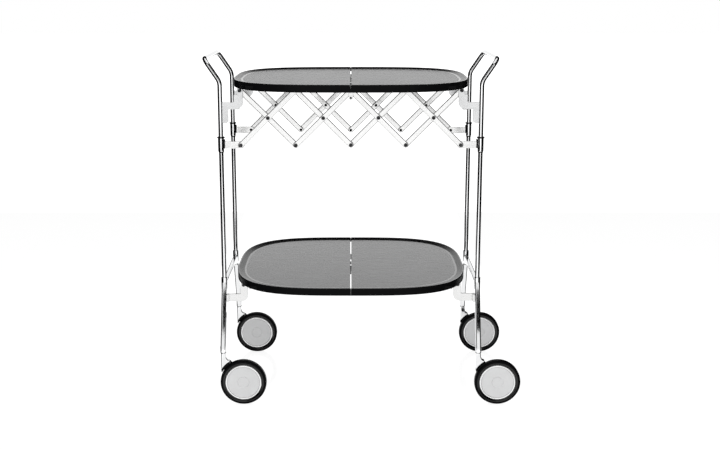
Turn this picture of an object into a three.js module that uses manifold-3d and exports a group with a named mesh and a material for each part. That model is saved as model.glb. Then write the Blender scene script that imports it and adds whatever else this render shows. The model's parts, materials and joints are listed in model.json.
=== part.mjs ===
// Folding serving trolley: two chromed end frames on casters, a pair of lattice gates between
// them, and two oval trays hinged across the middle. Lifting the trays at their seam pulls the
// end frames together, and the gates close like scissors while their sliders run down the
// uprights.
//
// Millimetres, +Z up, X along the trolley, Y across it (front is -Y). The origin is on the
// floor under the middle of the bounding box. Everything is drawn with the casters' swivels
// symmetric about X = 0, and the whole group is then moved by originShift.

import * as THREE from 'three';
import { mergeVertices } from 'three/addons/utils/BufferGeometryUtils.js';
import Module from 'manifold-3d';

const wasm = await Module();
wasm.setup();

// End frames: one bent tube each, which is both uprights and the push handle. It bends and
// ends at set distances from the upper tray's rim.
const frameSpacing = 552;
const uprightSpacing = 208;
const tubeDiameter = 10;
const handleBendBelowRim = 4;
const handleTopAboveRim = 44;
const handleReach = 32;
const handleBendRadius = 30;
const gripCornerRadius = 14;

// Leg frames: a cast arch under each tube, with a collar for each upright.
const collarAboveCrossbar = 11;
const collarLength = 27;
const collarDiameter = 13.6;
const socketDepth = 21;
const legThickness = 11;
const legBevel = 2;
const crossbarBelowRim = 16.5;
const crossbarDepth = 7;
const archRise = 15;
const archFootInset = 9;
const legInnerShoulder = 40;
const legInnerOffset = 4;
const legHalfWidth = 6.5;
const swivelSpacing = 298;
const swivelHeight = 118;
const legFootHeight = 12;
const swivelPinDiameter = 7;
const swivelPinLength = 9;

// Trays: each is two halves of one superellipse, with a skirt and a shallow dished top.
const trayEndClearance = 23;
const trayDepth = 401;
const trayLengthPower = 3.5;
const trayDepthPower = 3.03;
const upperRimHeight = 704;
const lowerRimHeight = 278.5;
const skirtHeight = 16;
const skirtWall = 3;
const rimRound = 1;
const rimWidth = 2.5;
const dishBand = 17.5;
const dishDepth = 4;
const floorThickness = 3;
const seamGap = 2.4;
const seamFlat = 40;

// Tray hinges: eyes at the outer ends, and knuckles on one pin under the seam.
const pivotInset = 42.4;
const pivotDrop = 22;
const lugRadius = 5.5;
const knuckleRadius = 4.5;
const seamPinDiameter = 3.8;
const seamPinOverhang = 1.5;
const knuckleSideGap = 0.5;
const hingeTopDrop = 1.2;
const frontHingeInset = 33.5;
const frontHingeLength = 35;
const middleHingePlace = 1.5;
const middleHingeLength = 13;
const rearHingePlace = 37;
const rearHingeLength = 30;

// Lattice gates: flat links on rivets, in layers from the outside of the gate inwards.
const cellsPerGate = 4;
const linkAngle = Math.PI / 4;
const linkWidth = 12;
const linkThickness = 4;
const rivetDiameter = 5;
const rivetHeadDiameter = 8.4;
const rivetHeadHeight = 1.4;

// Upper brackets: a flange on the upright, an arm, and a column up to the pivot.
const armDrop = 25;
const armHeight = 15;
const flangeWidth = 12.5;
const flangeDrop = 44.5;
const flangeRound = 6;
const columnOuterReach = 13;
const columnInnerReach = 6.4;
const columnShoulderDrop = 8.5;
const elbowRadius = 15;
const elbowInnerRadius = 3;
const eyeRadius = 5.7;

// Lower brackets: an angle on the leg, an arm, and a column up to the pivot.
const lowerArmDrop = 20.5;
const lowerArmHeight = 17;
const lowerColumnOuterReach = 7.4;
const lowerColumnInnerReach = 9.6;
const footThickness = 4;
const footOverlap = 12;

// Sliders: a sleeve on each upright with a lug, and an arm out to the gate's lower end.
const sleeveDiameter = 12.9;
const sleeveAbovePin = 17.5;
const sleeveBelowPin = 16.3;
const sleeveRingDiameter = 16.4;
const sleeveRingHeight = 2.6;
const sleeveFootDiameter = 11.4;
const sleeveFootHeight = 4.6;
const lugReach = 4.6;
const lugHeight = 18;
const lugWidth = 9;
const lugRise = 2.3;
const sliderArmHeight = 15.4;
const armTang = 3.6;

// Stop tabs: a short plate on each gate's middle rivet.
const tabDrop = 15.4;
const tabRadius = 4.6;
const tabThickness = 2;

// Casters: a chromed stem over a black fork, and a thin wheel that trails behind the stem.
const wheelDiameter = 100;
const tyreWidth = 14;
const tyreBead = 10.9;
const tyreShoulder = 3.2;
const casterTrail = 42.7;
const stemWidth = 10;
const stemBevel = 1.5;
const stemTopGap = 0.8;
const stemFlare = 8.5;
const stemTipHeight = 4;
const hoodClearance = 1.6;
const hoodThickness = 2.8;
const hoodOverhang = 1.2;
const hoodFromAngle = 123;
const hoodToAngle = 151;
const forkThickness = 3.4;
const forkBossRadius = 10;
const axleDiameter = 8;
const axleTipInset = 5;
const discFaceInset = 0.8;
const discGrooveRadius = 35.2;
const discGrooveWidth = 1.2;
const discGrooveDepth = 0.6;
const hubRadius = 11.9;
const hubTopRadius = 9.6;
const hubRise = 0.9;

// Clearances.
const gap = 0.3;
const pinClearance = 0.4;
const cutOverrun = 5;

// Facets.
const roundSides = 12;
const rivetSides = 8;
const tubeSides = 12;
const wheelSides = 26;
const endSteps = 4;
const bendSteps = 3;
const archSteps = 8;
const quadrantSteps = 8;

// Sizes that follow from the ones above.
const frameHalf = frameSpacing / 2;
const uprightHalf = uprightSpacing / 2;
const tubeRadius = tubeDiameter / 2;
const swivelHalf = swivelSpacing / 2;
const pivotX = frameHalf - pivotInset;
const handleBendHeight = upperRimHeight - handleBendBelowRim;
const handleTopHeight = upperRimHeight + handleTopAboveRim;
const upperPivotHeight = upperRimHeight - pivotDrop;
const lowerPivotHeight = lowerRimHeight - pivotDrop;
const crossbarTop = lowerRimHeight - crossbarBelowRim;
const collarTop = crossbarTop + collarAboveCrossbar;
const frontHingePlace = frontHingeInset - uprightHalf;
const cellWidth = (2 * pivotX) / cellsPerGate;
const gateHeight = cellWidth * Math.tan(linkAngle);
const gateLowHeight = upperPivotHeight - gateHeight;
const layerPitch = linkThickness + gap;
const rivetRadius = rivetDiameter / 2;
const rivetHoleRadius = rivetRadius + pinClearance;
const trayHalfLength = frameHalf - trayEndClearance;
const trayHalfDepth = trayDepth / 2;
const wheelRadius = wheelDiameter / 2;
const hoodInnerRadius = wheelRadius + hoodClearance;
const hoodOuterRadius = hoodInnerRadius + hoodThickness;
const leftReach = frameHalf + handleReach + tubeRadius;
const rightReach = frameHalf + casterTrail + wheelRadius;
const originShift = -(rightReach - leftReach) / 2;

// Materials.
function finish(color, roughness, metalness) {
  return new THREE.MeshStandardMaterial({ color, roughness, metalness, flatShading: true });
}

const chrome = finish(0xe8eaec, 0.08, 1);
const whiteLacquer = finish(0xececea, 0.4, 0);
const greyLacquer = finish(0xdcdddd, 0.4, 0);
const blackPlastic = finish(0x17181a, 0.4, 0);
const blackRubber = finish(0x0e0e0f, 0.35, 0);
const greyPlastic = finish(0xd2d3d4, 0.4, 0);
const rivetSteel = finish(0x6d6f72, 0.35, 1);

const trolley = new THREE.Group();
trolley.position.x = originShift;

function addPart(name, geometry, material) {
  const mesh = new THREE.Mesh(geometry, material);
  mesh.name = name;
  trolley.add(mesh);
  return mesh;
}

// Geometry helpers. Every geometry is a closed mesh of merged vertices, facing outwards.

function signedVolume(geometry) {
  const place = geometry.attributes.position;
  const order = geometry.index.array;
  const [a, b, c] = [new THREE.Vector3(), new THREE.Vector3(), new THREE.Vector3()];
  let volume = 0;
  for (let i = 0; i < order.length; i += 3) {
    a.fromBufferAttribute(place, order[i]);
    b.fromBufferAttribute(place, order[i + 1]);
    c.fromBufferAttribute(place, order[i + 2]);
    volume += a.dot(b.cross(c)) / 6;
  }
  return volume;
}

function closed(geometry) {
  geometry.deleteAttribute('normal');
  geometry.deleteAttribute('uv');
  const merged = mergeVertices(geometry);
  if (signedVolume(merged) < 0) {
    const order = merged.index.array;
    for (let i = 0; i < order.length; i += 3) {
      [order[i], order[i + 1]] = [order[i + 1], order[i]];
    }
  }
  return merged;
}

function toSolid(geometry) {
  const ready = closed(geometry);
  return new wasm.Manifold(new wasm.Mesh({
    numProp: 3,
    vertProperties: new Float32Array(ready.attributes.position.array),
    triVerts: new Uint32Array(ready.index.array),
  }));
}

function toGeometry(solid) {
  const mesh = solid.getMesh();
  const geometry = new THREE.BufferGeometry();
  geometry.setAttribute('position', new THREE.BufferAttribute(mesh.vertProperties, mesh.numProp));
  geometry.setIndex(new THREE.BufferAttribute(mesh.triVerts, 1));
  return geometry;
}

function joined(geometries) {
  return geometries.map(toSolid).reduce((all, next) => all.add(next));
}

function cut(solid, geometries) {
  return geometries.map(toSolid).reduce((rest, tool) => rest.subtract(tool), solid);
}

// Reflects a piece drawn for the left front corner to the corner with the given signs, where
// side is -1 on the left and 1 on the right, and end is -1 at the front and 1 at the rear.
function atCorner(geometry, side, end) {
  const copy = geometry.clone();
  copy.applyMatrix4(new THREE.Matrix4().makeScale(-side, -end, 1));
  return closed(copy);
}

function arcPoints(x, y, radius, from, to, steps) {
  const points = [];
  for (let i = 0; i <= steps; i += 1) {
    const angle = from + ((to - from) * i) / steps;
    points.push(new THREE.Vector2(x + radius * Math.cos(angle), y + radius * Math.sin(angle)));
  }
  return points;
}

function circlePoints(x, y, radius, sides) {
  return arcPoints(x, y, radius, 0, 2 * Math.PI, sides).slice(0, sides);
}

// A plate whose outline is in X and Z, between two values of Y.
function plateAcross(shape, yFrom, yTo) {
  const geometry = new THREE.ExtrudeGeometry(shape, { depth: yTo - yFrom, bevelEnabled: false });
  const turn = new THREE.Matrix4().makeBasis(
    new THREE.Vector3(1, 0, 0),
    new THREE.Vector3(0, 0, 1),
    new THREE.Vector3(0, -1, 0),
  );
  return geometry.applyMatrix4(turn).translate(0, yTo, 0);
}

// A bar whose outline is in two axes, centred on the third, with bevelled long edges.
function bevelledBar(shape, thickness, bevel, across) {
  const geometry = new THREE.ExtrudeGeometry(shape, {
    depth: thickness - 2 * bevel,
    bevelEnabled: true,
    bevelThickness: bevel,
    bevelSize: bevel,
    bevelOffset: -bevel,
    bevelSegments: 1,
  });
  geometry.translate(0, 0, -(thickness - 2 * bevel) / 2);
  const turn = across
    ? [new THREE.Vector3(1, 0, 0), new THREE.Vector3(0, 0, 1), new THREE.Vector3(0, -1, 0)]
    : [new THREE.Vector3(0, 1, 0), new THREE.Vector3(0, 0, 1), new THREE.Vector3(1, 0, 0)];
  return geometry.applyMatrix4(new THREE.Matrix4().makeBasis(...turn));
}

function rodAcross(radius, x, z, yFrom, yTo, sides = rivetSides) {
  const geometry = new THREE.CylinderGeometry(radius, radius, yTo - yFrom, sides);
  return geometry.translate(x, (yFrom + yTo) / 2, z);
}

function rodUpright(radius, x, y, zFrom, zTo, sides = roundSides) {
  const geometry = new THREE.CylinderGeometry(radius, radius, zTo - zFrom, sides);
  return geometry.rotateX(Math.PI / 2).translate(x, y, (zFrom + zTo) / 2);
}

function block(xFrom, xTo, yFrom, yTo, zFrom, zTo) {
  const geometry = new THREE.BoxGeometry(xTo - xFrom, yTo - yFrom, zTo - zFrom);
  return geometry.translate((xFrom + xTo) / 2, (yFrom + yTo) / 2, (zFrom + zTo) / 2);
}

// A curve whose even shares fall on hand-placed stations, so that an extrusion along it has one
// ring at each station and none between.
class StationCurve extends THREE.Curve {
  constructor(stations) {
    super();
    this.stations = stations;
  }

  station(share) {
    return this.stations[Math.round(share * (this.stations.length - 1))];
  }

  getPoint(share) {
    return this.station(share).point.clone();
  }

  getPointAt(share) {
    return this.getPoint(share);
  }

  getTangentAt(share) {
    return this.station(share).tangent.clone();
  }
}

// Stations along straight runs between corners, with an arc of its own radius at each corner.
function bentStations(corners) {
  const stations = [];
  const last = corners.length - 1;
  const heading = (i) => corners[i + 1].at.clone().sub(corners[i].at).normalize();
  stations.push({ point: corners[0].at.clone(), tangent: heading(0) });
  for (let i = 1; i < last; i += 1) {
    const before = heading(i - 1);
    const after = heading(i);
    const turn = before.angleTo(after);
    const tangentLength = corners[i].radius * Math.tan(turn / 2);
    const start = corners[i].at.clone().addScaledVector(before, -tangentLength);
    const inward = after.clone().addScaledVector(before, -before.dot(after)).normalize();
    const centre = start.clone().addScaledVector(inward, corners[i].radius);
    for (let step = 0; step <= corners[i].steps; step += 1) {
      const angle = (turn * step) / corners[i].steps;
      const point = centre.clone()
        .addScaledVector(inward, -corners[i].radius * Math.cos(angle))
        .addScaledVector(before, corners[i].radius * Math.sin(angle));
      const tangent = before.clone().multiplyScalar(Math.cos(angle))
        .addScaledVector(inward, Math.sin(angle));
      stations.push({ point, tangent });
    }
  }
  stations.push({ point: corners[last].at.clone(), tangent: heading(last - 1) });
  return stations;
}

// The handle tube: up one upright, out and over as the grip, and down the other upright.
function handleTube() {
  const x = -frameHalf;
  const tubeFoot = collarTop - socketDepth + gap;
  const corner = (out, y, z, radius, steps) => (
    { at: new THREE.Vector3(x - out, y, z), radius, steps }
  );
  const path = new StationCurve(bentStations([
    corner(0, -uprightHalf, tubeFoot),
    corner(0, -uprightHalf, handleBendHeight, handleBendRadius, bendSteps),
    corner(handleReach, -uprightHalf, handleTopHeight, gripCornerRadius, endSteps),
    corner(handleReach, uprightHalf, handleTopHeight, gripCornerRadius, endSteps),
    corner(0, uprightHalf, handleBendHeight, handleBendRadius, bendSteps),
    corner(0, uprightHalf, tubeFoot),
  ]));
  const section = new THREE.Shape(circlePoints(0, 0, tubeRadius, tubeSides));
  return new THREE.ExtrudeGeometry(section, {
    steps: path.stations.length - 1,
    extrudePath: path,
    bevelEnabled: false,
  });
}

// The leg frame: a thin arched crossbar between the collars, and legs that splay to the swivels.
function legFrame() {
  const x = -frameHalf;
  const collarRadius = collarDiameter / 2;
  const archTop = crossbarTop - crossbarDepth;
  const archFoot = archTop - archRise;
  const innerFoot = swivelHalf - legHalfWidth;
  const outerFoot = swivelHalf + legHalfWidth;
  const footTop = swivelHeight + legFootHeight;
  const archFootY = uprightHalf - archFootInset;
  const shoulder = new THREE.Vector2(uprightHalf + legInnerOffset, crossbarTop - legInnerShoulder);
  const half = [
    new THREE.Vector2(uprightHalf + collarRadius, crossbarTop),
    new THREE.Vector2(outerFoot, footTop),
    new THREE.Vector2(outerFoot, swivelHeight),
    new THREE.Vector2(innerFoot, swivelHeight),
    new THREE.Vector2(innerFoot, footTop),
    shoulder,
  ];
  const bend = new THREE.QuadraticBezierCurve(
    shoulder,
    new THREE.Vector2(uprightHalf, archFoot),
    new THREE.Vector2(archFootY, archFoot),
  );
  half.push(...bend.getPoints(bendSteps).slice(1));
  const arch = new THREE.QuadraticBezierCurve(
    half[half.length - 1],
    new THREE.Vector2(0, archFoot + 2 * archRise),
    new THREE.Vector2(-archFootY, archFoot),
  );
  const outline = [
    ...half,
    ...arch.getPoints(archSteps).slice(1, archSteps),
    ...half.map((point) => new THREE.Vector2(-point.x, point.y)).reverse(),
  ];
  const casting = bevelledBar(new THREE.Shape(outline), legThickness, legBevel, false)
    .translate(x, 0, 0);
  const solids = [casting];
  const bores = [];
  for (const end of [-1, 1]) {
    const upright = end * uprightHalf;
    const swivel = end * swivelHalf;
    solids.push(rodUpright(collarRadius, x, upright, collarTop - collarLength, collarTop));
    solids.push(rodUpright(legHalfWidth, x, swivel, swivelHeight, footTop));
    bores.push(rodUpright(tubeRadius + gap, x, upright, collarTop - socketDepth,
      collarTop + cutOverrun));
    bores.push(rodUpright(swivelPinDiameter / 2 + pinClearance, x, swivel,
      swivelHeight - cutOverrun, swivelHeight + swivelPinLength + gap));
  }
  return toGeometry(cut(joined(solids), bores));
}

// Layers of the front gate: 0 is the outermost. The left half of the gate uses 0 and 1, and the
// right half 1 and 2, so that the two halves can meet on the middle rivets.
function layerOuter(layer) {
  return -uprightHalf - 1.5 * linkThickness - gap + layer * layerPitch;
}

function layerInner(layer) {
  return layerOuter(layer) + linkThickness;
}

function outerLayer(side) {
  return side < 0 ? 0 : 1;
}

// A rivet that is fixed in one layer and runs inwards through the next few.
function rivetInward(x, z, layer, through) {
  const headFrom = layerInner(layer + through) + gap;
  const parts = [rodAcross(rivetHeadDiameter / 2, x, z, layerOuter(layer) - rivetHeadHeight,
    layerInner(layer) - linkThickness / 2)];
  if (through > 0) {
    parts.push(rodAcross(rivetRadius, x, z, layerOuter(layer), headFrom + rivetHeadHeight));
    parts.push(rodAcross(rivetHeadDiameter / 2, x, z, headFrom, headFrom + rivetHeadHeight));
  }
  return parts;
}

// A rivet that is fixed in one layer and runs outwards through the layer in front of it.
function rivetOutward(x, z, layer) {
  const headTo = layerOuter(layer - 1) - gap;
  return [
    rodAcross(rivetRadius, x, z, headTo - rivetHeadHeight, layerOuter(layer) + linkThickness / 2),
    rodAcross(rivetHeadDiameter / 2, x, z, headTo - rivetHeadHeight, headTo),
  ];
}

// A link of the lattice, drawn where it stands at rest. Its rivets and holes are given at shares
// of its length: through counts the layers that a rivet joins, and is 0 for a bare head.
function gateLink(from, to, layer, rivets, holeShares, innerHeadShares = []) {
  const radius = linkWidth / 2;
  const angle = Math.atan2(to.y - from.y, to.x - from.x);
  const at = (share) => from.clone().lerp(to, share);
  const outline = [
    ...arcPoints(to.x, to.y, radius, angle - Math.PI / 2, angle + Math.PI / 2, endSteps),
    ...arcPoints(from.x, from.y, radius, angle + Math.PI / 2, angle + 1.5 * Math.PI, endSteps),
  ];
  const shape = new THREE.Shape(outline);
  for (const share of holeShares) {
    const centre = at(share);
    shape.holes.push(new THREE.Path(
      circlePoints(centre.x, centre.y, rivetHoleRadius, rivetSides)));
  }
  const solids = [plateAcross(shape, layerOuter(layer), layerInner(layer))];
  for (const { share, through } of rivets) {
    const centre = at(share);
    solids.push(...rivetInward(centre.x, centre.y, layer, through));
  }
  for (const share of innerHeadShares) {
    const centre = at(share);
    solids.push(rodAcross(rivetHeadDiameter / 2, centre.x, centre.y,
      layerOuter(layer) + linkThickness / 2, layerInner(layer) + rivetHeadHeight));
  }
  return toGeometry(joined(solids));
}

// The four links of one half of the front gate, with the end towards the frame first. Links 1
// and 3 fall towards the middle, and links 2 and 4 rise. The middle rivets are split between
// the halves: each side has its own head and no shank.
function gateHalf(side) {
  const front = outerLayer(side);
  const column = (cells) => side * (pivotX - cells * cellWidth);
  const top = (cells) => new THREE.Vector2(column(cells), upperPivotHeight);
  const low = (cells) => new THREE.Vector2(column(cells), gateLowHeight);
  const middle = cellsPerGate / 2;
  const leftOnly = side < 0 ? [{ share: 1, through: 0 }] : [];
  const rightOnly = side < 0 ? [] : [1];
  return [
    gateLink(top(0), low(1), front + 1, [], [0, 0.5, 1]),
    gateLink(low(0), top(1), front, [{ share: 0.5, through: 1 }, { share: 1, through: 1 }], [0]),
    gateLink(top(1), low(middle), front + 1, leftOnly, [0, 0.5], rightOnly),
    gateLink(low(1), top(middle), front,
      [{ share: 0, through: 1 }, { share: 0.5, through: 1 }], side < 0 ? [1] : [], rightOnly),
  ];
}

// The stop tab on the gate's middle rivet, in front of the left half's outer links. Its rivet
// goes through the outermost link.
function stopTab() {
  const outer = layerOuter(0) - gap - tabThickness;
  const inner = outer + tabThickness;
  const low = upperPivotHeight - tabDrop;
  const outline = [
    ...arcPoints(0, upperPivotHeight, tabRadius, 0, Math.PI, endSteps),
    ...arcPoints(0, low, tabRadius, Math.PI, 2 * Math.PI, endSteps),
  ];
  const head = (z) => rodAcross(rivetHeadDiameter / 2, 0, z, outer - rivetHeadHeight,
    inner - tabThickness / 2);
  return toGeometry(joined([
    plateAcross(new THREE.Shape(outline), outer, inner),
    head(upperPivotHeight),
    rodAcross(rivetRadius, 0, low, outer - rivetHeadHeight, inner - tabThickness / 2),
    rodAcross(rivetRadius, 0, upperPivotHeight, outer, layerInner(0)),
  ]));
}

// The column of a bracket: an outline from the arm's inner top corner up round the pivot eye and
// down to the arm's rounded outer corner. Drawn about the pivot for the left side.
function columnOutline(x, z, outerReach, innerReach, armTop, armBottom) {
  const shoulder = z - columnShoulderDrop;
  const elbow = arcPoints(x + innerReach - elbowRadius, armBottom + elbowRadius, elbowRadius,
    -Math.PI / 2, 0, endSteps);
  return [
    ...elbow,
    new THREE.Vector2(x + innerReach, z - columnShoulderDrop),
    ...arcPoints(x, z, eyeRadius, 0, Math.PI, 2 * endSteps),
    new THREE.Vector2(x - eyeRadius, shoulder),
    new THREE.Vector2(x - outerReach, shoulder),
    ...arcPoints(x - outerReach - elbowInnerRadius, armTop + elbowInnerRadius, elbowInnerRadius,
      0, -Math.PI / 2, bendSteps),
  ];
}

// The upper bracket: a flange down the upright, an arm, and a column up to the gate's end rivet.
function upperBracket(side) {
  const layer = outerLayer(side);
  const z = upperPivotHeight;
  const flangeFrom = -frameHalf;
  const flangeTo = flangeFrom + tubeRadius + flangeWidth;
  const armTop = z - armDrop;
  const armBottom = armTop - armHeight;
  const flangeBottom = armTop - flangeDrop;
  const outline = [
    ...columnOutline(-pivotX, z, columnOuterReach, columnInnerReach, armTop, armBottom),
    new THREE.Vector2(flangeFrom, armTop),
    new THREE.Vector2(flangeFrom, flangeBottom),
    ...arcPoints(flangeTo - flangeRound, flangeBottom + flangeRound, flangeRound,
      -Math.PI / 2, 0, bendSteps),
    new THREE.Vector2(flangeTo, armBottom),
  ];
  const solid = joined([
    plateAcross(new THREE.Shape(outline), layerOuter(layer), layerInner(layer)),
    ...rivetInward(-pivotX, z, layer, 2),
  ]);
  const tube = rodUpright(tubeRadius + gap, -frameHalf, -uprightHalf, flangeBottom - cutOverrun,
    armTop + cutOverrun, tubeSides);
  const behindTube = block(-frameHalf - tubeRadius, -frameHalf, layerOuter(layer) - cutOverrun,
    layerInner(layer) + cutOverrun, flangeBottom - cutOverrun, armTop + cutOverrun);
  const outsideTube = block(-frameHalf - tubeRadius, -frameHalf + tubeRadius + gap,
    layerOuter(layer) - cutOverrun, -uprightHalf - rivetRadius,
    flangeBottom - cutOverrun, armTop + cutOverrun);
  return toGeometry(cut(solid, [tube, behindTube, outsideTube]));
}

// The lower bracket: an angle on the leg's inner face, an arm, and a column up to the pivot.
function lowerBracket(side) {
  const layer = outerLayer(side);
  const z = lowerPivotHeight;
  const legFace = -frameHalf + legThickness / 2 + gap;
  const armTop = z - lowerArmDrop;
  const armBottom = armTop - lowerArmHeight;
  const outline = [
    ...columnOutline(-pivotX, z, lowerColumnOuterReach, lowerColumnInnerReach, armTop, armBottom),
    new THREE.Vector2(legFace, armTop),
    new THREE.Vector2(legFace, armBottom),
  ];
  return toGeometry(joined([
    plateAcross(new THREE.Shape(outline), layerOuter(layer), layerInner(layer)),
    block(legFace, legFace + footThickness, -uprightHalf - footOverlap, layerInner(layer),
      armBottom, armTop),
    ...rivetInward(-pivotX, z, layer, 2),
  ]));
}

// A turned piece: a closed profile of [radius, height] pairs round an upright axis.
function turned(profile, sides) {
  const points = profile.map(([radius, height]) => new THREE.Vector2(radius, height));
  return new THREE.LatheGeometry(points, sides);
}

// The slider's sleeve, with a ring at the top, a tapered foot and a slotted lug for the arm.
function sliderSleeve(side) {
  const x = -frameHalf;
  const y = -uprightHalf;
  const layer = outerLayer(side) + 1;
  const bore = tubeRadius + gap;
  const body = sleeveDiameter / 2;
  const ring = sleeveRingDiameter / 2;
  const foot = sleeveFootDiameter / 2;
  const top = gateLowHeight + sleeveAbovePin;
  const bottom = gateLowHeight - sleeveBelowPin;
  const sleeve = turned([
    [bore, bottom],
    [foot, bottom],
    [body, bottom + sleeveFootHeight],
    [body, top - sleeveRingHeight],
    [ring, top - sleeveRingHeight],
    [ring, top],
    [bore, top],
    [bore, bottom],
  ], roundSides).rotateX(Math.PI / 2).translate(x, y, 0);
  const middle = (layerOuter(layer) + layerInner(layer)) / 2;
  const lugMiddle = gateLowHeight + lugRise;
  const lug = block(x + bore + gap, x + body + lugReach, middle - lugWidth / 2,
    middle + lugWidth / 2, lugMiddle - lugHeight / 2, lugMiddle + lugHeight / 2);
  const slot = block(x + body + lugReach - armTang - gap, x + body + lugReach + cutOverrun,
    layerOuter(layer) - gap, layerInner(layer) + gap,
    gateLowHeight - sliderArmHeight / 2 - gap, gateLowHeight + sliderArmHeight / 2 + gap);
  const clearBore = rodUpright(bore, x, y, bottom - cutOverrun, top + cutOverrun);
  return toGeometry(cut(joined([sleeve, lug]), [slot, clearBore]));
}

// The slider's arm: a flat bar from the lug to the gate's lower end rivet, which it carries.
function sliderArm(side) {
  const layer = outerLayer(side) + 1;
  const radius = sliderArmHeight / 2;
  const from = -frameHalf + sleeveDiameter / 2 + lugReach - armTang;
  const outline = [
    ...arcPoints(-pivotX, gateLowHeight, radius, -Math.PI / 2, Math.PI / 2, endSteps),
    new THREE.Vector2(from, gateLowHeight + radius),
    new THREE.Vector2(from, gateLowHeight - radius),
  ];
  return toGeometry(joined([
    plateAcross(new THREE.Shape(outline), layerOuter(layer), layerInner(layer)),
    ...rivetOutward(-pivotX, gateLowHeight, layer),
  ]));
}

// The turns at which the tray's outline has its points. The seam crosses the middle of each long
// side, so a side has a point on each side of its middle and none on it.
function trayTurns() {
  const besideSeam = Math.acos((seamFlat / 2 / trayHalfLength) ** (trayLengthPower / 2));
  const quarter = [];
  for (let i = 0; i < quadrantSteps; i += 1) {
    quarter.push((Math.PI / 2) * (i / quadrantSteps));
  }
  quarter.push(besideSeam);
  const half = [...quarter, ...quarter.slice(1).reverse().map((turn) => Math.PI - turn)];
  return [...half, ...half.map((turn) => Math.PI + turn)];
}

// A ring of the tray's outline, drawn in by an inset.
function trayRing(inset, height) {
  const length = trayHalfLength - inset;
  const depth = trayHalfDepth - inset;
  const power = (value, exponent) => Math.sign(value) * Math.abs(value) ** (2 / exponent);
  return trayTurns().map((turn) => new THREE.Vector3(
    length * power(Math.cos(turn), trayLengthPower),
    depth * power(Math.sin(turn), trayDepthPower),
    height,
  ));
}

// A closed skin over a stack of rings, with a fan from the middle of the first and last.
function skinOver(rings) {
  const count = rings[0].length;
  const places = rings.flat().flatMap((point) => point.toArray());
  const order = [];
  for (let level = 0; level + 1 < rings.length; level += 1) {
    for (let i = 0; i < count; i += 1) {
      const a = level * count + i;
      const b = level * count + ((i + 1) % count);
      order.push(a, b, b + count, a, b + count, a + count);
    }
  }
  const caps = [[0, false], [rings.length - 1, true]];
  for (const [level, upwards] of caps) {
    const middle = places.length / 3;
    places.push(0, 0, rings[level][0].z);
    for (let i = 0; i < count; i += 1) {
      const a = level * count + i;
      const b = level * count + ((i + 1) % count);
      order.push(...(upwards ? [a, b, middle] : [b, a, middle]));
    }
  }
  const geometry = new THREE.BufferGeometry();
  geometry.setAttribute('position', new THREE.Float32BufferAttribute(places, 3));
  geometry.setIndex(order);
  return geometry;
}

// Half of a tray with its hinge eyes and seam knuckles, with the rim at height 0.
function trayHalf(side) {
  const seam = seamGap / 2;
  const under = -dishDepth - floorThickness;
  const full = skinOver([
    trayRing(0, -skirtHeight),
    trayRing(0, -rimRound),
    trayRing(rimRound, 0),
    trayRing(rimWidth, 0),
    trayRing(dishBand, -dishDepth),
  ]);
  const hollow = skinOver([
    trayRing(skirtWall, -skirtHeight - cutOverrun),
    trayRing(skirtWall, under),
  ]);
  const reach = trayHalfLength + cutOverrun;
  const width = trayHalfDepth + cutOverrun;
  const depth = skirtHeight + 2 * cutOverrun;
  const keepHalf = toSolid(block(-reach, -seam, -width, width, -depth, cutOverrun));
  const keepHollow = toSolid(block(-reach, -seam - skirtWall, -width, width, -depth, cutOverrun));
  let half = toSolid(full).intersect(keepHalf)
    .subtract(toSolid(hollow).intersect(keepHollow));

  const lugLayer = outerLayer(side) + 2;
  for (const end of [-1, 1]) {
    const outer = end * layerOuter(lugLayer);
    const inner = end * layerInner(lugLayer);
    const outline = [
      ...arcPoints(-pivotX, -pivotDrop, lugRadius, Math.PI, 2 * Math.PI, 2 * endSteps),
      new THREE.Vector2(-pivotX + lugRadius, under + rimRound),
      new THREE.Vector2(-pivotX - lugRadius, under + rimRound),
    ];
    const shape = new THREE.Shape(outline);
    shape.holes.push(new THREE.Path(
      circlePoints(-pivotX, -pivotDrop, rivetHoleRadius, rivetSides)));
    half = half.add(toSolid(plateAcross(shape, Math.min(outer, inner), Math.max(outer, inner))));
  }

  const leafReach = seam - gap;
  for (const { from, to } of knuckles(side)) {
    half = half.add(joined([
      rodAcross(knuckleRadius, 0, -pivotDrop, from, to),
      block(-seam - skirtWall, leafReach, from, to, -pivotDrop, -skirtHeight + rimRound),
      block(-seam - rimRound, leafReach, from, to, -pivotDrop, -dishDepth - hingeTopDrop),
    ]));
  }
  const pinBore = rodAcross(seamPinDiameter / 2 + pinClearance, 0, -pivotDrop, -width, width);
  return toGeometry(cut(half, [pinBore]));
}

const hinges = [
  { centre: frontHingePlace, length: frontHingeLength },
  { centre: middleHingePlace, length: middleHingeLength },
  { centre: rearHingePlace, length: rearHingeLength },
];

// The stretches of the seam hinges that belong to one half: a hinge's front part goes to the
// left half and its rear part to the right half, and the short hinge is all on the left.
function knuckles(side) {
  const spans = [];
  for (const { centre, length } of hinges) {
    const whole = length < Math.max(...hinges.map((hinge) => hinge.length)) / 2;
    const split = whole ? centre + length / 2 : centre;
    if (side < 0) {
      spans.push({ from: centre - length / 2, to: split - (whole ? 0 : knuckleSideGap / 2) });
    } else if (!whole) {
      spans.push({ from: split + knuckleSideGap / 2, to: centre + length / 2 });
    }
  }
  return spans;
}

function seamPin() {
  const from = Math.min(...hinges.map(({ centre, length }) => centre - length / 2));
  const to = Math.max(...hinges.map(({ centre, length }) => centre + length / 2));
  return rodAcross(seamPinDiameter / 2, 0, -pivotDrop, from - seamPinOverhang,
    to + seamPinOverhang);
}

// Caster pieces are drawn about the swivel axis, with the wheel trailing towards +X.

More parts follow.
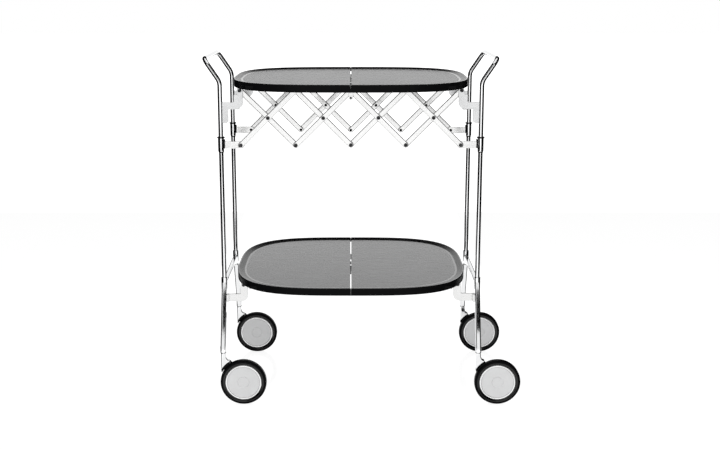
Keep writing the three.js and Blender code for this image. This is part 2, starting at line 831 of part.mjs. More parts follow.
// The stem: round above for the swivel, flaring to the fork's hood along the wheel's curve.
function casterStem() {
  const top = swivelHeight - stemTopGap;
  const half = stemWidth / 2;
  const seat = hoodOuterRadius + gap;
  const drop = (x) => wheelRadius + Math.sqrt(seat ** 2 - (casterTrail - x) ** 2);
  const angleAt = (x) => Math.atan2(drop(x) - wheelRadius, x - casterTrail);
  const flareX = half + stemFlare;
  const tipTop = drop(flareX) + stemTipHeight;
  const flare = new THREE.QuadraticBezierCurve(
    new THREE.Vector2(flareX, tipTop),
    new THREE.Vector2(half, tipTop),
    new THREE.Vector2(half, top),
  );
  const outline = [
    new THREE.Vector2(-half, top),
    ...arcPoints(casterTrail, wheelRadius, seat, angleAt(-half), angleAt(flareX), endSteps),
    ...flare.getPoints(bendSteps),
  ];
  return toGeometry(joined([
    bevelledBar(new THREE.Shape(outline), stemWidth, stemBevel, true),
    rodUpright(swivelPinDiameter / 2, 0, 0, top - stemTopGap, swivelHeight + swivelPinLength),
  ]));
}

// The fork: a hood over the tyre, a cheek behind the wheel, and the axle pressed into it.
function casterFork() {
  const hoodFrom = THREE.MathUtils.degToRad(hoodFromAngle);
  const hoodTo = THREE.MathUtils.degToRad(hoodToAngle);
  const sector = [
    ...arcPoints(casterTrail, wheelRadius, hoodInnerRadius, hoodFrom, hoodTo, endSteps),
    ...arcPoints(casterTrail, wheelRadius, hoodOuterRadius, hoodTo, hoodFrom, endSteps),
  ];
  const middle = (hoodFrom + hoodTo) / 2;
  const cheek = [
    ...arcPoints(casterTrail, wheelRadius, forkBossRadius, middle + Math.PI / 2,
      middle + 1.5 * Math.PI, endSteps),
    ...arcPoints(casterTrail, wheelRadius, forkBossRadius, middle - Math.PI / 2, middle
      - Math.PI / 3, 1),
    ...arcPoints(casterTrail, wheelRadius, hoodOuterRadius, hoodFrom, hoodTo, endSteps),
    ...arcPoints(casterTrail, wheelRadius, forkBossRadius, middle + Math.PI / 3,
      middle + Math.PI / 2, 1).slice(0, 1),
  ];
  const cheekFrom = tyreWidth / 2 + hoodOverhang;
  const cheekTo = cheekFrom + forkThickness;
  return toGeometry(joined([
    plateAcross(new THREE.Shape(sector), -tyreWidth / 2 - hoodOverhang, cheekTo),
    plateAcross(new THREE.Shape(cheek), cheekFrom, cheekTo),
    rodAcross(axleDiameter / 2, casterTrail, wheelRadius, -tyreWidth / 2 + axleTipInset, cheekTo),
  ]));
}

// The wheel's disc: a closed face with a groove and a raised hub, bored from behind.
function wheelDisc() {
  const edge = wheelRadius - tyreBead - gap;
  const face = -tyreWidth / 2 + discFaceInset;
  const back = tyreWidth / 2;
  const bore = axleDiameter / 2 + pinClearance;
  const boreEnd = -tyreWidth / 2 + axleTipInset - pinClearance;
  const profile = [
    [0, face - hubRise],
    [hubTopRadius, face - hubRise],
    [hubRadius, face],
    [discGrooveRadius - discGrooveWidth / 2, face],
    [discGrooveRadius, face + discGrooveDepth],
    [discGrooveRadius + discGrooveWidth / 2, face],
    [edge, face],
    [edge, back - discFaceInset],
    [hubRadius, back - discFaceInset],
    [hubRadius, back],
    [bore, back],
    [bore, boreEnd],
    [0, boreEnd],
  ];
  return turned(profile, wheelSides).translate(casterTrail, 0, wheelRadius);
}

function tyre() {
  const half = tyreWidth / 2;
  const bead = wheelRadius - tyreBead;
  const profile = [
    [bead, -half + discFaceInset],
    [bead + discFaceInset, -half],
    [wheelRadius - tyreShoulder, -half],
    [wheelRadius, -half + tyreShoulder],
    [wheelRadius, half - tyreShoulder],
    [wheelRadius - tyreShoulder, half],
    [bead + discFaceInset, half],
    [bead, half - discFaceInset],
    [bead, -half + discFaceInset],
  ];
  return turned(profile, wheelSides).translate(casterTrail, 0, wheelRadius);
}

// The assembly, one end frame at a time.
const sides = [['left', -1], ['right', 1]];
const ends = [['front', -1], ['rear', 1]];
const stem = closed(casterStem());
const fork = closed(casterFork());
const disc = closed(wheelDisc());
const tread = closed(tyre());
const tab = stopTab();

for (const [sideName, side] of sides) {
  addPart(`handle_tube_${sideName}`, atCorner(handleTube(), side, -1), chrome);
  addPart(`leg_frame_${sideName}`, atCorner(legFrame(), side, -1), chrome);
  const links = gateHalf(side);
  for (const [endName, end] of ends) {
    const place = `${sideName}_${endName}`;
    addPart(`upper_bracket_${place}`, atCorner(upperBracket(side), side, end), greyLacquer);
    addPart(`lower_bracket_${place}`, atCorner(lowerBracket(side), side, end), whiteLacquer);
    addPart(`slider_sleeve_${place}`, atCorner(sliderSleeve(side), side, end), chrome);
    addPart(`slider_arm_${place}`, atCorner(sliderArm(side), side, end), whiteLacquer);
    links.forEach((link, index) => {
      addPart(`gate_link_${place}_${index + 1}`, atCorner(link, -1, end), whiteLacquer);
    });
    const corner = [side * frameHalf, end * swivelHalf, 0];
    addPart(`caster_stem_${place}`, stem, chrome).position.set(...corner);
    addPart(`caster_fork_${place}`, fork, blackPlastic).position.set(...corner);
    addPart(`wheel_disc_${place}`, disc, greyPlastic).position.set(...corner);
    addPart(`tyre_${place}`, tread, blackRubber).position.set(...corner);
  }
  const half = atCorner(trayHalf(side), side, -1);
  addPart(`upper_tray_${sideName}`, half, blackPlastic).position.z = upperRimHeight;
  addPart(`lower_tray_${sideName}`, half, blackPlastic).position.z = lowerRimHeight;
}

const pin = closed(seamPin());
addPart('upper_seam_pin', pin, rivetSteel).position.z = upperRimHeight;
addPart('lower_seam_pin', pin, rivetSteel).position.z = lowerRimHeight;
for (const [endName, end] of ends) {
  addPart(`stop_tab_${endName}`, atCorner(tab, -1, end), whiteLacquer);
}

export default trolley;
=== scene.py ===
"""Folding serving trolley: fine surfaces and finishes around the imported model, in metres.

X runs along the trolley, Y across it with the front at -Y, and Z up. Pieces are drawn for the left
front corner, with X counted from the trolley's middle, and are mirrored to the other corners.
"""

import json
import math
from collections import namedtuple

import bmesh
import bpy
from bpy.props import FloatProperty, FloatVectorProperty, PointerProperty
from bpy.types import Operator, Panel, PropertyGroup
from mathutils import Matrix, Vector


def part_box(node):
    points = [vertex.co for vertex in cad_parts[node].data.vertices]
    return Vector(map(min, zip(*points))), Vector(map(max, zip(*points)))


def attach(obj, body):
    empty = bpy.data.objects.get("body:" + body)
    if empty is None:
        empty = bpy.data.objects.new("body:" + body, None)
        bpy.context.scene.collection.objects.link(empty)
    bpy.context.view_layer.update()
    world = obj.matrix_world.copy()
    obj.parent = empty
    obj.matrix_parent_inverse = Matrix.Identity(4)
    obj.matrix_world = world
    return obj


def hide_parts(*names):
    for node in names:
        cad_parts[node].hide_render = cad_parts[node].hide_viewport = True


bl_info = {
    "name": "Folding serving trolley",
    "version": (1, 0, 0),
    "blender": (4, 5, 0),
    "location": "View3D > Sidebar > Trolley",
    "description": "Dresses a folding serving trolley with fine surfaces and finishes",
    "category": "Add Mesh",
}

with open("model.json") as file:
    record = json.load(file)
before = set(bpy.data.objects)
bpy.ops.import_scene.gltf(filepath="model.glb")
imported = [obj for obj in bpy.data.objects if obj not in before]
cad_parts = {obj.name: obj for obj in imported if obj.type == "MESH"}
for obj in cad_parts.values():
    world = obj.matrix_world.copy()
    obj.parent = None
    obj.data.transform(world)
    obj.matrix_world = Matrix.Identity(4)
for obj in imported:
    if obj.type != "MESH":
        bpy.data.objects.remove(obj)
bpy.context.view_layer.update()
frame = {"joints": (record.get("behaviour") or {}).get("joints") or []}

SIDES = (("left", -1), ("right", 1))
ENDS = (("front", -1), ("rear", 1))
CORNERS = [(f"{side_name}_{end_name}", side_name, side, end)
           for side_name, side in SIDES for end_name, end in ENDS]
ACROSS = Vector((0, 1, 0))
UPRIGHT = Vector((0, 0, 1))

JOINT_PLACES = {joint["name"]: Vector(joint["pos_m"]) for joint in frame["joints"]}
MIDDLE_X = JOINT_PLACES["upper_seam"].x
TUBE_LOW, TUBE_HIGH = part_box("handle_tube_left")
LEG_LOW, LEG_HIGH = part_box("leg_frame_left")
TRAY_LOW, TRAY_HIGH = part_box("upper_tray_left")
TRAY_HALF_LENGTH = MIDDLE_X - TRAY_LOW.x
TRAY_HALF_DEPTH = TRAY_HIGH.y
LEVELS = (("upper", TRAY_HIGH.z), ("lower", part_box("lower_tray_left")[1].z))
TYRE_LOW, TYRE_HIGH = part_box("tyre_left_front")
WHEEL = TYRE_HIGH.z / 2
HALF_TYRE = (TYRE_HIGH.y - TYRE_LOW.y) / 2
SLEEVE_LOW, SLEEVE_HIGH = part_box("slider_sleeve_left_front")
LINK_TOP = JOINT_PLACES["fold"].z
LINK_LOW = JOINT_PLACES["gate_left_lower_rivet"].z
PIVOT_REACH = MIDDLE_X - JOINT_PLACES["fold"].x
CELL_WIDTH = PIVOT_REACH / 2
LOWER_PIVOT = JOINT_PLACES["lower_tray_to_left_frame"].z
WHEEL_TRAIL = JOINT_PLACES["roll_left_front"].x - JOINT_PLACES["swivel_left_front"].x


def length(label, description, default):
    return FloatProperty(name=label, description=description, default=default, unit="LENGTH",
                         precision=5)


def colour(label, description, default):
    return FloatVectorProperty(name=label, description=description, default=default,
                               subtype="COLOR", size=3, min=0, max=1)


class EndFrameSizes(PropertyGroup):
    tube_radius: length("Tube radius", "Radius of the bent handle tube", 0.005)
    bend_height: length("Bend height", "Height where the uprights lean outwards", 0.700)
    bend_radius: length("Bend radius", "Radius of the bend above the tray", 0.030)
    grip_corner: length("Grip corner", "Radius of the corners of the push handle", 0.014)
    collar_radius: length("Collar radius", "Radius of the collar round each upright", 0.0068)
    collar_length: length("Collar length", "Height of the collar round each upright", 0.027)
    crossbar_top: length("Crossbar top", "Height of the top of the arched crossbar", 0.262)
    crossbar_depth: length("Crossbar depth", "Height of the crossbar at its middle", 0.007)
    arch_rise: length("Arch rise", "Rise of the arch under the crossbar", 0.015)
    leg_width: length("Leg width", "Width of a leg at its foot", 0.013)
    leg_thickness: length("Leg thickness", "Thickness of the cast leg frame", 0.011)
    foot_height: length("Foot height", "Height of the round foot over the swivel", 0.012)


class TraySizes(PropertyGroup):
    length_power: FloatProperty(name="End power", default=3.5,
                                description="Power of the outline's superellipse along X")
    depth_power: FloatProperty(name="Side power", default=3.03,
                               description="Power of the outline's superellipse along Y")
    skirt_height: length("Skirt height", "Height of the tray's outer wall", 0.016)
    skirt_wall: length("Skirt wall", "Thickness of the tray's outer wall", 0.003)
    lip_radius: length("Lip radius", "Rounding of the rim's outer edge", 0.0012)
    lip_width: length("Lip width", "Width of the flat rim", 0.0026)
    slope_foot: length("Slope foot", "Width of the rim and the slope inside it", 0.0145)
    dish_depth: length("Dish depth", "Depth of the floor below the rim", 0.004)
    floor_thickness: length("Floor thickness", "Thickness of the tray's floor", 0.003)
    seam_gap: length("Seam gap", "Gap between the two halves", 0.0024)


class GateSizes(PropertyGroup):
    link_width: length("Link width", "Width of a lattice link", 0.012)
    link_thickness: length("Link thickness", "Thickness of a lattice link", 0.004)
    layer_gap: length("Layer gap", "Gap between two layers of links", 0.0003)
    rivet_radius: length("Rivet radius", "Radius of a rivet's head", 0.0042)
    rivet_height: length("Rivet height", "Height of a rivet's head", 0.0014)
    inner_rivet_radius: length("Inner rivet radius", "Radius of a rivet's inner end", 0.0031)


class SliderSizes(PropertyGroup):
    sleeve_radius: length("Sleeve radius", "Radius of the sleeve on an upright", 0.00645)
    ring_height: length("Ring height", "Height of the ring on top", 0.0026)
    foot_radius: length("Foot radius", "Radius of the tapered foot at its end", 0.0057)
    foot_height: length("Foot height", "Height of the tapered foot", 0.0046)
    rim_height: length("Rim height", "Height of the black rim round the foot", 0.0026)
    lug_height: length("Lug height", "Height of the black lug that holds the arm", 0.018)
    lug_rise: length("Lug rise", "Height of the lug's middle over the gate's low pin", 0.0023)
    arm_height: length("Arm height", "Height of the arm to the gate", 0.0154)


class CasterSizes(PropertyGroup):
    tyre_depth: length("Tyre depth", "Depth of the tyre from tread to bead", 0.0109)
    wall_depth: length("Wall depth", "Depth of the tyre's flat wall from the tread", 0.0056)
    tread_round: length("Tread rounding", "Rounding of the tread's edges", 0.0034)
    hub_radius: length("Hub radius", "Radius of the dished hub", 0.0131)
    groove_radius: length("Groove radius", "Radius of the groove in the disc", 0.0352)
    stem_width: length("Stem width", "Width of the caster's stem", 0.010)
    hood_clearance: length("Hood clearance", "Gap between tyre and hood", 0.0016)
    hood_thickness: length("Hood thickness", "Thickness of the hood", 0.0028)
    fork_thickness: length("Fork thickness", "Thickness of the fork's cheek", 0.0034)


class TrolleyColours(PropertyGroup):
    chrome: colour("Chrome", "Plated tubes, castings and sleeves", (0.86, 0.865, 0.87))
    white_lacquer: colour("White lacquer", "Links, arms and lower brackets", (0.73, 0.73, 0.727))
    grey_lacquer: colour("Grey lacquer", "Upper brackets", (0.58, 0.583, 0.585))
    tray: colour("Tray", "Moulded tray plastic", (0.003, 0.003, 0.0033))
    # The floor, the rim's top and the fillet of the black tray take this grey, a painted sheen: it
    # stands partly for the bright room that the satin floor reflects at a low view.
    tray_floor: colour("Tray floor", "Grained floor of a tray", (0.185, 0.185, 0.187))
    wheel: colour("Wheel", "Wheel discs", (0.63, 0.632, 0.635))
    # Painted highlight: the lip is of the disc's plastic, but its colour is paler than the disc's
    # and stands partly for the highlight on its rounded edge.
    lip: colour("Lip", "Polished lip round a disc", (0.88, 0.88, 0.88))
    rubber: colour("Rubber", "Tyres", (0.002, 0.002, 0.0023))
    rivet: colour("Rivet", "Rivet cores and seam pins", (0.06, 0.06, 0.062))


class StageSettings(PropertyGroup):
    camera_distance: length("Camera distance", "Distance of the camera in front", 2.0927)
    camera_height: length("Camera height", "Height of the camera", 0.9107)
    camera_pitch: FloatProperty(name="Camera pitch", default=math.radians(10.344), subtype="ANGLE",
                                description="How far the camera looks down")
    focal_length: FloatProperty(name="Focal length", default=47.427,
                                description="Focal length in millimetres on a 36 mm sensor")
    room_light: FloatProperty(name="Room light", default=0.64,
                              description="Strength of the even light from all round")
    key_power: FloatProperty(name="Key power", default=34.0, unit="POWER",
                             description="Power of the soft box overhead")
    fill_power: FloatProperty(name="Fill power", default=18.0, unit="POWER",
                              description="Power of the low soft box in front")


# Shells: closed surfaces as a list of points and a list of faces.


def skin(rings, closed_along=False):
    """A surface over rings of equal count, where a ring of one point is a tip."""
    points = [point for ring in rings for point in ring]
    starts = [sum(len(ring) for ring in rings[:i]) for i in range(len(rings))]
    faces = []
    for a in range(len(rings) if closed_along else len(rings) - 1):
        b = (a + 1) % len(rings)
        count = max(len(rings[a]), len(rings[b]))
        for i in range(count):
            after = (i + 1) % count
            face = []
            for ring, order in ((a, (i, after)), (b, (after, i))):
                for k in order[: len(rings[ring])]:
                    face.append(starts[ring] + (k if len(rings[ring]) > 1 else 0))
            faces.append(face)
    return points, faces


def circle(centre, beside, above, radius, sides):
    """Points round a centre, in the plane of two directions."""
    turns = (2 * math.pi * i / sides for i in range(sides))
    return [centre + (beside * math.cos(t) + above * math.sin(t)) * radius for t in turns]


def turned(profile, centre, axis, sides, closed=False):
    """A turned shell from pairs of radius and height, which start and end on the axis or close."""
    beside = axis.orthogonal().normalized()
    above = axis.cross(beside)
    rings = [circle(centre + axis * height, beside, above, radius, sides if radius else 1)
             for radius, height in profile]
    return skin(rings, closed)


def swept(stations, radius, sides):
    """A round bar along stations of a point and a tangent, closed by flat ends."""
    normal = stations[0][1].orthogonal().normalized()
    rings = []
    last = stations[0][1]
    for point, tangent in stations:
        normal = last.rotation_difference(tangent) @ normal
        last = tangent
        rings.append(circle(point, normal, tangent.cross(normal), radius, sides))
    return skin([[stations[0][0]], *rings, [stations[-1][0]]])


def bend(start, corner, finish, radius, steps):
    """Points and tangents round a corner between two places."""
    before = (corner - start).normalized()
    after = (finish - corner).normalized()
    turn = before.angle(after)
    inward = (after - before * before.dot(after)).normalized()
    from_here = corner - before * radius * math.tan(turn / 2)
    stations = []
    for step in range(steps + 1):
        c = math.cos(turn * step / steps)
        s = math.sin(turn * step / steps)
        stations.append((from_here + (inward * (1 - c) + before * s) * radius,
                         before * c + inward * s))
    return stations


def bent_path(places, radii, steps):
    """Stations of a path through places, with a radius for each but the two ends."""
    stations = [(places[0], (places[1] - places[0]).normalized())]
    for start, corner, finish, radius in zip(places, places[1:], places[2:], radii):
        stations += bend(start, corner, finish, radius, steps)
    return [*stations, (places[-1], (places[-1] - places[-2]).normalized())]


def arc(centre, radius, start, end, steps):
    """Points of an arc in a plane, with its angles in degrees."""
    turns = (math.radians(start + (end - start) * i / steps) for i in range(steps + 1))
    return [Vector((centre[0] + radius * math.cos(t), centre[1] + radius * math.sin(t)))
            for t in turns]


def rounded(corners, radii, steps=6):
    """An outline through corners of two coordinates, with a rounding radius for each."""
    places = [Vector(corner) for corner in corners]
    rims = zip(places[-1:] + places[:-1], places, places[1:] + places[:1], radii)
    return [point for start, corner, finish, radius in rims
            for point, _ in bend(start, corner, finish, radius, steps)]


def plate(outline, near, far, bevel, across="Y", bevel_steps=3):
    """A plate with rounded edges: an outline in the two other axes, from near to far."""
    curve = bpy.data.curves.new("outline", "CURVE")
    curve.dimensions = "2D"
    curve.fill_mode = "BOTH"
    curve.extrude = abs(far - near) / 2 - bevel
    curve.bevel_depth = bevel
    curve.bevel_resolution = bevel_steps
    curve.offset = -bevel
    spline = curve.splines.new("POLY")
    spline.points.add(len(outline) - 1)
    for point, (u, v) in zip(spline.points, outline):
        point.co = (u, v, 0, 1)
    spline.use_cyclic_u = True
    carrier = bpy.data.objects.new("outline", curve)
    mesh = bpy.data.meshes.new_from_object(carrier)
    middle = (near + far) / 2
    points = []
    for u, v, depth in (vertex.co for vertex in mesh.vertices):
        place = (u, middle + depth, v) if across == "Y" else (middle + depth, u, v)
        points.append(Vector(place))
    faces = [list(face.vertices) for face in mesh.polygons]
    bpy.data.objects.remove(carrier)
    bpy.data.curves.remove(curve)
    bpy.data.meshes.remove(mesh)
    return points, faces


def moved(shell, offset):
    points, faces = shell
    return [point + offset for point in points], faces


# Materials: a finish is a row of the table, made at its first use. A noise is its scale, its detail
# and, where it has a grain, how it is stretched.

EVEN = (1, 1, 1)
GRAIN = (0.12, 1, 1)
FINE_GRAIN = (0.2, 1, 1)
NOISE_LOW = 0.3
NOISE_HIGH = 0.7
SPECULAR = "Specular IOR Level"

# spread: noise, least and greatest roughness. tint: noise, how much darker, and how much brighter
# than the colour. bump: noise, strength and distance. sockets: the shader's own, by name.
Look = namedtuple("Look", "colour metallic roughness spread tint bump sockets",
                  defaults=(None, None, {}))
LACQUER = Look("", 0.8, 0.16, ((60, 3), 0.12, 0.20), ((25, 3), 0.03, 1), ((1400, 2), 0.12, 0.0002))
FINISHES = {
    "polished_chrome": Look("chrome", 1, 0.06, ((45, 4), 0.035, 0.10), ((120, 2), 0.03, 1)),
    "white_lacquer": LACQUER._replace(colour="white_lacquer"),
    "grey_lacquer": LACQUER._replace(colour="grey_lacquer"),
    "tray_plastic": Look("tray", 0, 0.26, ((70, 4), 0.20, 0.34), None, ((2600, 3), 0.10, 0.0001),
                         {SPECULAR: 0.03}),
    "tray_top": Look("tray", 0, 0.2, ((400, 4), 0.18, 0.30), None, ((1500, 3), 0.12, 0.0001),
                     {SPECULAR: 0.75}),
    # The rim's top, the fillet and the floor take the floor's grey: painted sheen on the black
    # plastic, lighter than the skirt. The floor's grain is the plastic's own.
    "tray_lip": Look("tray_floor", 0, 0.1, ((200, 3), 0.08, 0.14), None, None, {"IOR": 2.5}),
    "tray_floor": Look("tray_floor", 0, 0.2, ((120, 4, GRAIN), 0.25, 0.29),
                       ((220, 4, GRAIN), 0.14, 1), ((1600, 3, FINE_GRAIN), 0.04, 0.0001),
                       {"IOR": 2.5}),
    "black_plastic": Look("tray", 0, 0.32, ((300, 4), 0.26, 0.40), None,
                          ((3200, 2), 0.15, 0.0001), {SPECULAR: 0.06}),
    "wheel_plastic": Look("wheel", 0, 0.42, ((90, 4), 0.36, 0.52), ((55, 5), 0.05, 1),
                          ((1800, 3), 0.14, 0.0001)),
    # The disc's lip: its pale colour and half-metal finish are partly a painted highlight on the
    # disc's plastic, and partly its gloss.
    "lip_plastic": Look("lip", 0.5, 0.12, ((160, 3), 0.08, 0.18)),
    "tyre_rubber": Look("rubber", 0, 0.22, ((140, 5), 0.16, 0.34), ((200, 5), 0.5, 1.8),
                        ((2200, 3), 0.10, 0.0001), {SPECULAR: 0.03}),
    "cove_rubber": Look("rubber", 0, 0.1, ((90, 3), 0.07, 0.16), None, None, {SPECULAR: 0.4}),
    "rivet_steel": Look("rivet", 1, 0.3, ((900, 4), 0.22, 0.42)),
}


def principled(name, base, metallic, roughness):
    """A finish's material and its new shader, or no shader where it was made before."""
    own_name = f"{name}_finish"
    material = bpy.data.materials.get(own_name)
    if material:
        return material, None
    material = bpy.data.materials.new(own_name)
    material.use_nodes = True
    shader = material.node_tree.nodes["Principled BSDF"]
    shader.inputs["Base Color"].default_value = (*base, 1)
    shader.inputs["Metallic"].default_value = metallic
    shader.inputs["Roughness"].default_value = roughness
    return material, shader


def added(tree, kind, values):
    """A new node, with its inputs set by name."""
    node = tree.nodes.new(kind)
    for name, value in values.items():
        node.inputs[name].default_value = value
    return node


def noise(tree, scale, detail, stretch=EVEN):
    """Noise in the piece's own metres, as its fac socket."""
    place = added(tree, "ShaderNodeTexCoord", {})
    mapping = added(tree, "ShaderNodeMapping", {"Scale": stretch})
    texture = added(tree, "ShaderNodeTexNoise", {"Scale": scale, "Detail": detail})
    tree.links.new(place.outputs["Object"], mapping.inputs["Vector"])
    tree.links.new(mapping.outputs["Vector"], texture.inputs["Vector"])
    return texture.outputs["Fac"]


def ranged(tree, value, low, high, target, start=0, finish=1):
    """Maps a value between start and finish to a range on a target socket."""
    node = added(tree, "ShaderNodeMapRange", {"From Min": start, "From Max": finish,
                                              "To Min": low, "To Max": high})
    tree.links.new(value, node.inputs["Value"])
    tree.links.new(node.outputs["Result"], target)


def tint(tree, shader, base, grain, share, gain):
    """Varies the base colour, darker by a share where the noise is low."""
    ramp = added(tree, "ShaderNodeValToRGB", {})
    dark, bright = ramp.color_ramp.elements
    dark.position = NOISE_LOW
    dark.color = (*(channel * gain * (1 - share) for channel in base), 1)
    bright.position = NOISE_HIGH
    bright.color = (*(channel * gain for channel in base), 1)
    tree.links.new(noise(tree, *grain), ramp.inputs["Fac"])
    tree.links.new(ramp.outputs["Color"], shader.inputs["Base Color"])


def emboss(tree, shader, grain, strength, distance):
    bump = added(tree, "ShaderNodeBump", {"Strength": strength, "Distance": distance})
    tree.links.new(noise(tree, *grain), bump.inputs["Height"])
    tree.links.new(bump.outputs["Normal"], shader.inputs["Normal"])


def finish_of(name):
    """The material of a row of the table."""
    look = FINISHES[name]
    base = getattr(bpy.context.scene.trolley_colours, look.colour)
    material, shader = principled(name, base, look.metallic, look.roughness)
    if not shader:
        return material
    tree = material.node_tree
    for socket, value in look.sockets.items():
        shader.inputs[socket].default_value = value
    grain, low, high = look.spread
    ranged(tree, noise(tree, *grain), low, high, shader.inputs["Roughness"], NOISE_LOW, NOISE_HIGH)
    if look.tint:
        tint(tree, shader, base, *look.tint)
    if look.bump:
        emboss(tree, shader, *look.bump)
    return material


# Fitting: shells are joined into one object and seated on a body of the frame.

WELD = 2e-6
CREASE = math.radians(32)


def fit(name, body, nodes, shells, side=-1, end=-1, mirrored=True):
    """Makes one object of shells with the names of their finishes, and seats it on a body."""
    mesh = bpy.data.meshes.new(name)
    points = []
    faces = []
    looks = []
    marks = []
    for (shell_points, shell_faces), look in shells:
        if look not in looks:
            looks.append(look)
        start = len(points)
        for point in shell_points:
            if mirrored:
                point = Vector((MIDDLE_X - side * point.x, -end * point.y, point.z))
            points.append(point)
        faces.extend([start + i for i in face] for face in shell_faces)
        marks.extend([looks.index(look)] * len(shell_faces))
    mesh.from_pydata(points, [], faces)
    mesh.polygons.foreach_set("material_index", marks)
    work = bmesh.new()
    work.from_mesh(mesh)
    bmesh.ops.remove_doubles(work, verts=work.verts, dist=WELD)
    bmesh.ops.dissolve_degenerate(work, edges=work.edges, dist=WELD)
    bmesh.ops.recalc_face_normals(work, faces=work.faces)
    work.to_mesh(mesh)
    work.free()
    for look in looks:
        mesh.materials.append(finish_of(look))
    mesh.shade_smooth()
    mesh.set_sharp_from_angle(angle=CREASE)
    piece = bpy.data.objects.new(name, mesh)
    bpy.context.scene.collection.objects.link(piece)
    piece.modifiers.new("even_normals", "WEIGHTED_NORMAL").keep_sharp = True
    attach(piece, body)
    if nodes:
        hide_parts(*nodes)
    return piece


# Layers across the gates and the rivets through them, drawn for the front.

# How far the first layer starts in front of the uprights, in thicknesses of a link.
LAYERS_BEFORE = 1.5
RIVET_SIDES = 32
TUBE_SIDES = 40
BEND_STEPS = 14
CORE_SHARE = 0.88
RIM_SINK = 0.0003
# Sections of rivets, as shares of their radius and height.
RIM_SHARES = ((1, 0.5), (0.9375, 0.75), (0.875, 1))
CORE_SHARES = ((0, 0), (1, 0), (1, 0.9), (0.8, 0.75), (0.5, 0.7), (0.3, 0.3), (0, 0.2))
DOME_SHARES = ((0, 0), (1, 0), (1, 0.4), (0.8, 0.85), (0.45, 1), (0, 1))
SHANK_SHARE = 0.8
STUD_EDGE = 0.0008
STUD_HEIGHT = 0.0014


def upright_place():
    """X and Y of the left front upright."""
    radius = bpy.context.scene.end_frame_sizes.tube_radius
    return TUBE_HIGH.x - radius - MIDDLE_X, TUBE_LOW.y + radius


def layer_outer(layer):
    gate = bpy.context.scene.gate_sizes
    first = upright_place()[1] - LAYERS_BEFORE * gate.link_thickness - gate.layer_gap
    return first + layer * (gate.link_thickness + gate.layer_gap)


def layer_inner(layer):
    return layer_outer(layer) + bpy.context.scene.gate_sizes.link_thickness


def first_layer(side):
    return 0 if side < 0 else 1


def scaled(shares, radius, height):
    return [(radius * out, height * up) for out, up in shares]


def bar(seat, axis, radius, run, edge=0, sides=RIVET_SIDES):
    """A round bar from a seat, with chamfers at both ends."""
    start = [(radius - edge, 0), (radius, edge)] if edge else [(radius, 0)]
    finish = [(out, run - up) for out, up in reversed(start)]
    return turned([(0, 0), *start, *finish, (0, run)], seat, axis, sides)


def peg(seat, axis, radius, run, tip, edge=0, sides=TUBE_SIDES):
    """A round bar from a seat, with a chamfer there and a flat cone at the other end."""
    start = [(radius - edge, 0), (radius, edge)] if edge else [(radius, 0)]
    return turned([(0, 0), *start, (radius, run), (0, run + tip)], seat, axis, sides)


def outer_rivet(x, z, face):
    """A rivet head in front of a face: a bright rim round a dark dished core."""
    gate = bpy.context.scene.gate_sizes
    radius = gate.rivet_radius
    height = gate.rivet_height
    core = radius * CORE_SHARE
    seat = Vector((x, face, z))
    rim = turned([(core, -RIM_SINK), (radius, -RIM_SINK), *scaled(RIM_SHARES, radius, height),
                  (core, height)], seat, -ACROSS, RIVET_SIDES, closed=True)
    middle = turned(scaled(CORE_SHARES, core, height), seat, -ACROSS, RIVET_SIDES)
    return [(rim, "polished_chrome"), (middle, "rivet_steel")]


def inner_rivet(x, z, face):
    """The black formed end of a rivet behind a face."""
    gate = bpy.context.scene.gate_sizes
    profile = scaled(DOME_SHARES, gate.inner_rivet_radius, gate.rivet_height)
    return [(turned(profile, Vector((x, face, z)), ACROSS, RIVET_SIDES), "black_plastic")]


def shank(x, z, near, far):
    radius = bpy.context.scene.gate_sizes.inner_rivet_radius * SHANK_SHARE
    return [(bar(Vector((x, near, z)), ACROSS, radius, far - near), "rivet_steel")]


def through_rivet(x, z, near, last):
    """A whole rivet from a face to behind the last layer that it holds."""
    far = layer_inner(last) + bpy.context.scene.gate_sizes.layer_gap
    return outer_rivet(x, z, near) + shank(x, z, near, far) + inner_rivet(x, z, far)


def stud(x, z, face, radius, crown):
    """A small flat-topped head in front of a face."""
    profile = [(0, 0), (radius, 0), (radius, STUD_EDGE), (crown, STUD_HEIGHT), (0, STUD_HEIGHT)]
    return [(turned(profile, Vector((x, face, z)), -ACROSS, RIVET_SIDES), "rivet_steel")]


class TROLLEY_OT_handle_tubes(Operator):
    """Bends the two chromed tubes that are the uprights and the push handles"""

    bl_idname = "trolley.handle_tubes"
    bl_label = "Handle tubes"

    def execute(self, context):
        sizes = context.scene.end_frame_sizes
        x, y = upright_place()
        tip = TUBE_LOW.x + sizes.tube_radius - MIDDLE_X
        top = TUBE_HIGH.z - sizes.tube_radius
        places = [Vector((x, y, TUBE_LOW.z)), Vector((x, y, sizes.bend_height)),
                  Vector((tip, y, top))]
        places += [Vector((place.x, -place.y, place.z)) for place in reversed(places)]
        radii = (sizes.bend_radius, sizes.grip_corner, sizes.grip_corner, sizes.bend_radius)
        tube = swept(bent_path(places, radii, BEND_STEPS), sizes.tube_radius, TUBE_SIDES)
        for side_name, side in SIDES:
            fit(f"bent_tube_{side_name}", f"{side_name}_frame",
                [f"handle_tube_{side_name}"], [(tube, "polished_chrome")], side)
        return {"FINISHED"}


COLLAR_ROUND = 0.0008
CAST_BEVEL = 0.0030
CAST_BEVEL_STEPS = 5
LEG_SHOULDER = 0.040
LEG_SHOULDER_OFFSET = 0.004
ARCH_FOOT_INSET = 0.009


def curve_points(start, pull, finish, steps):
    """Points of a quadratic curve, without its first."""
    shares = (i / steps for i in range(1, steps + 1))
    return [start * (1 - s) ** 2 + pull * 2 * s * (1 - s) + finish * s ** 2 for s in shares]


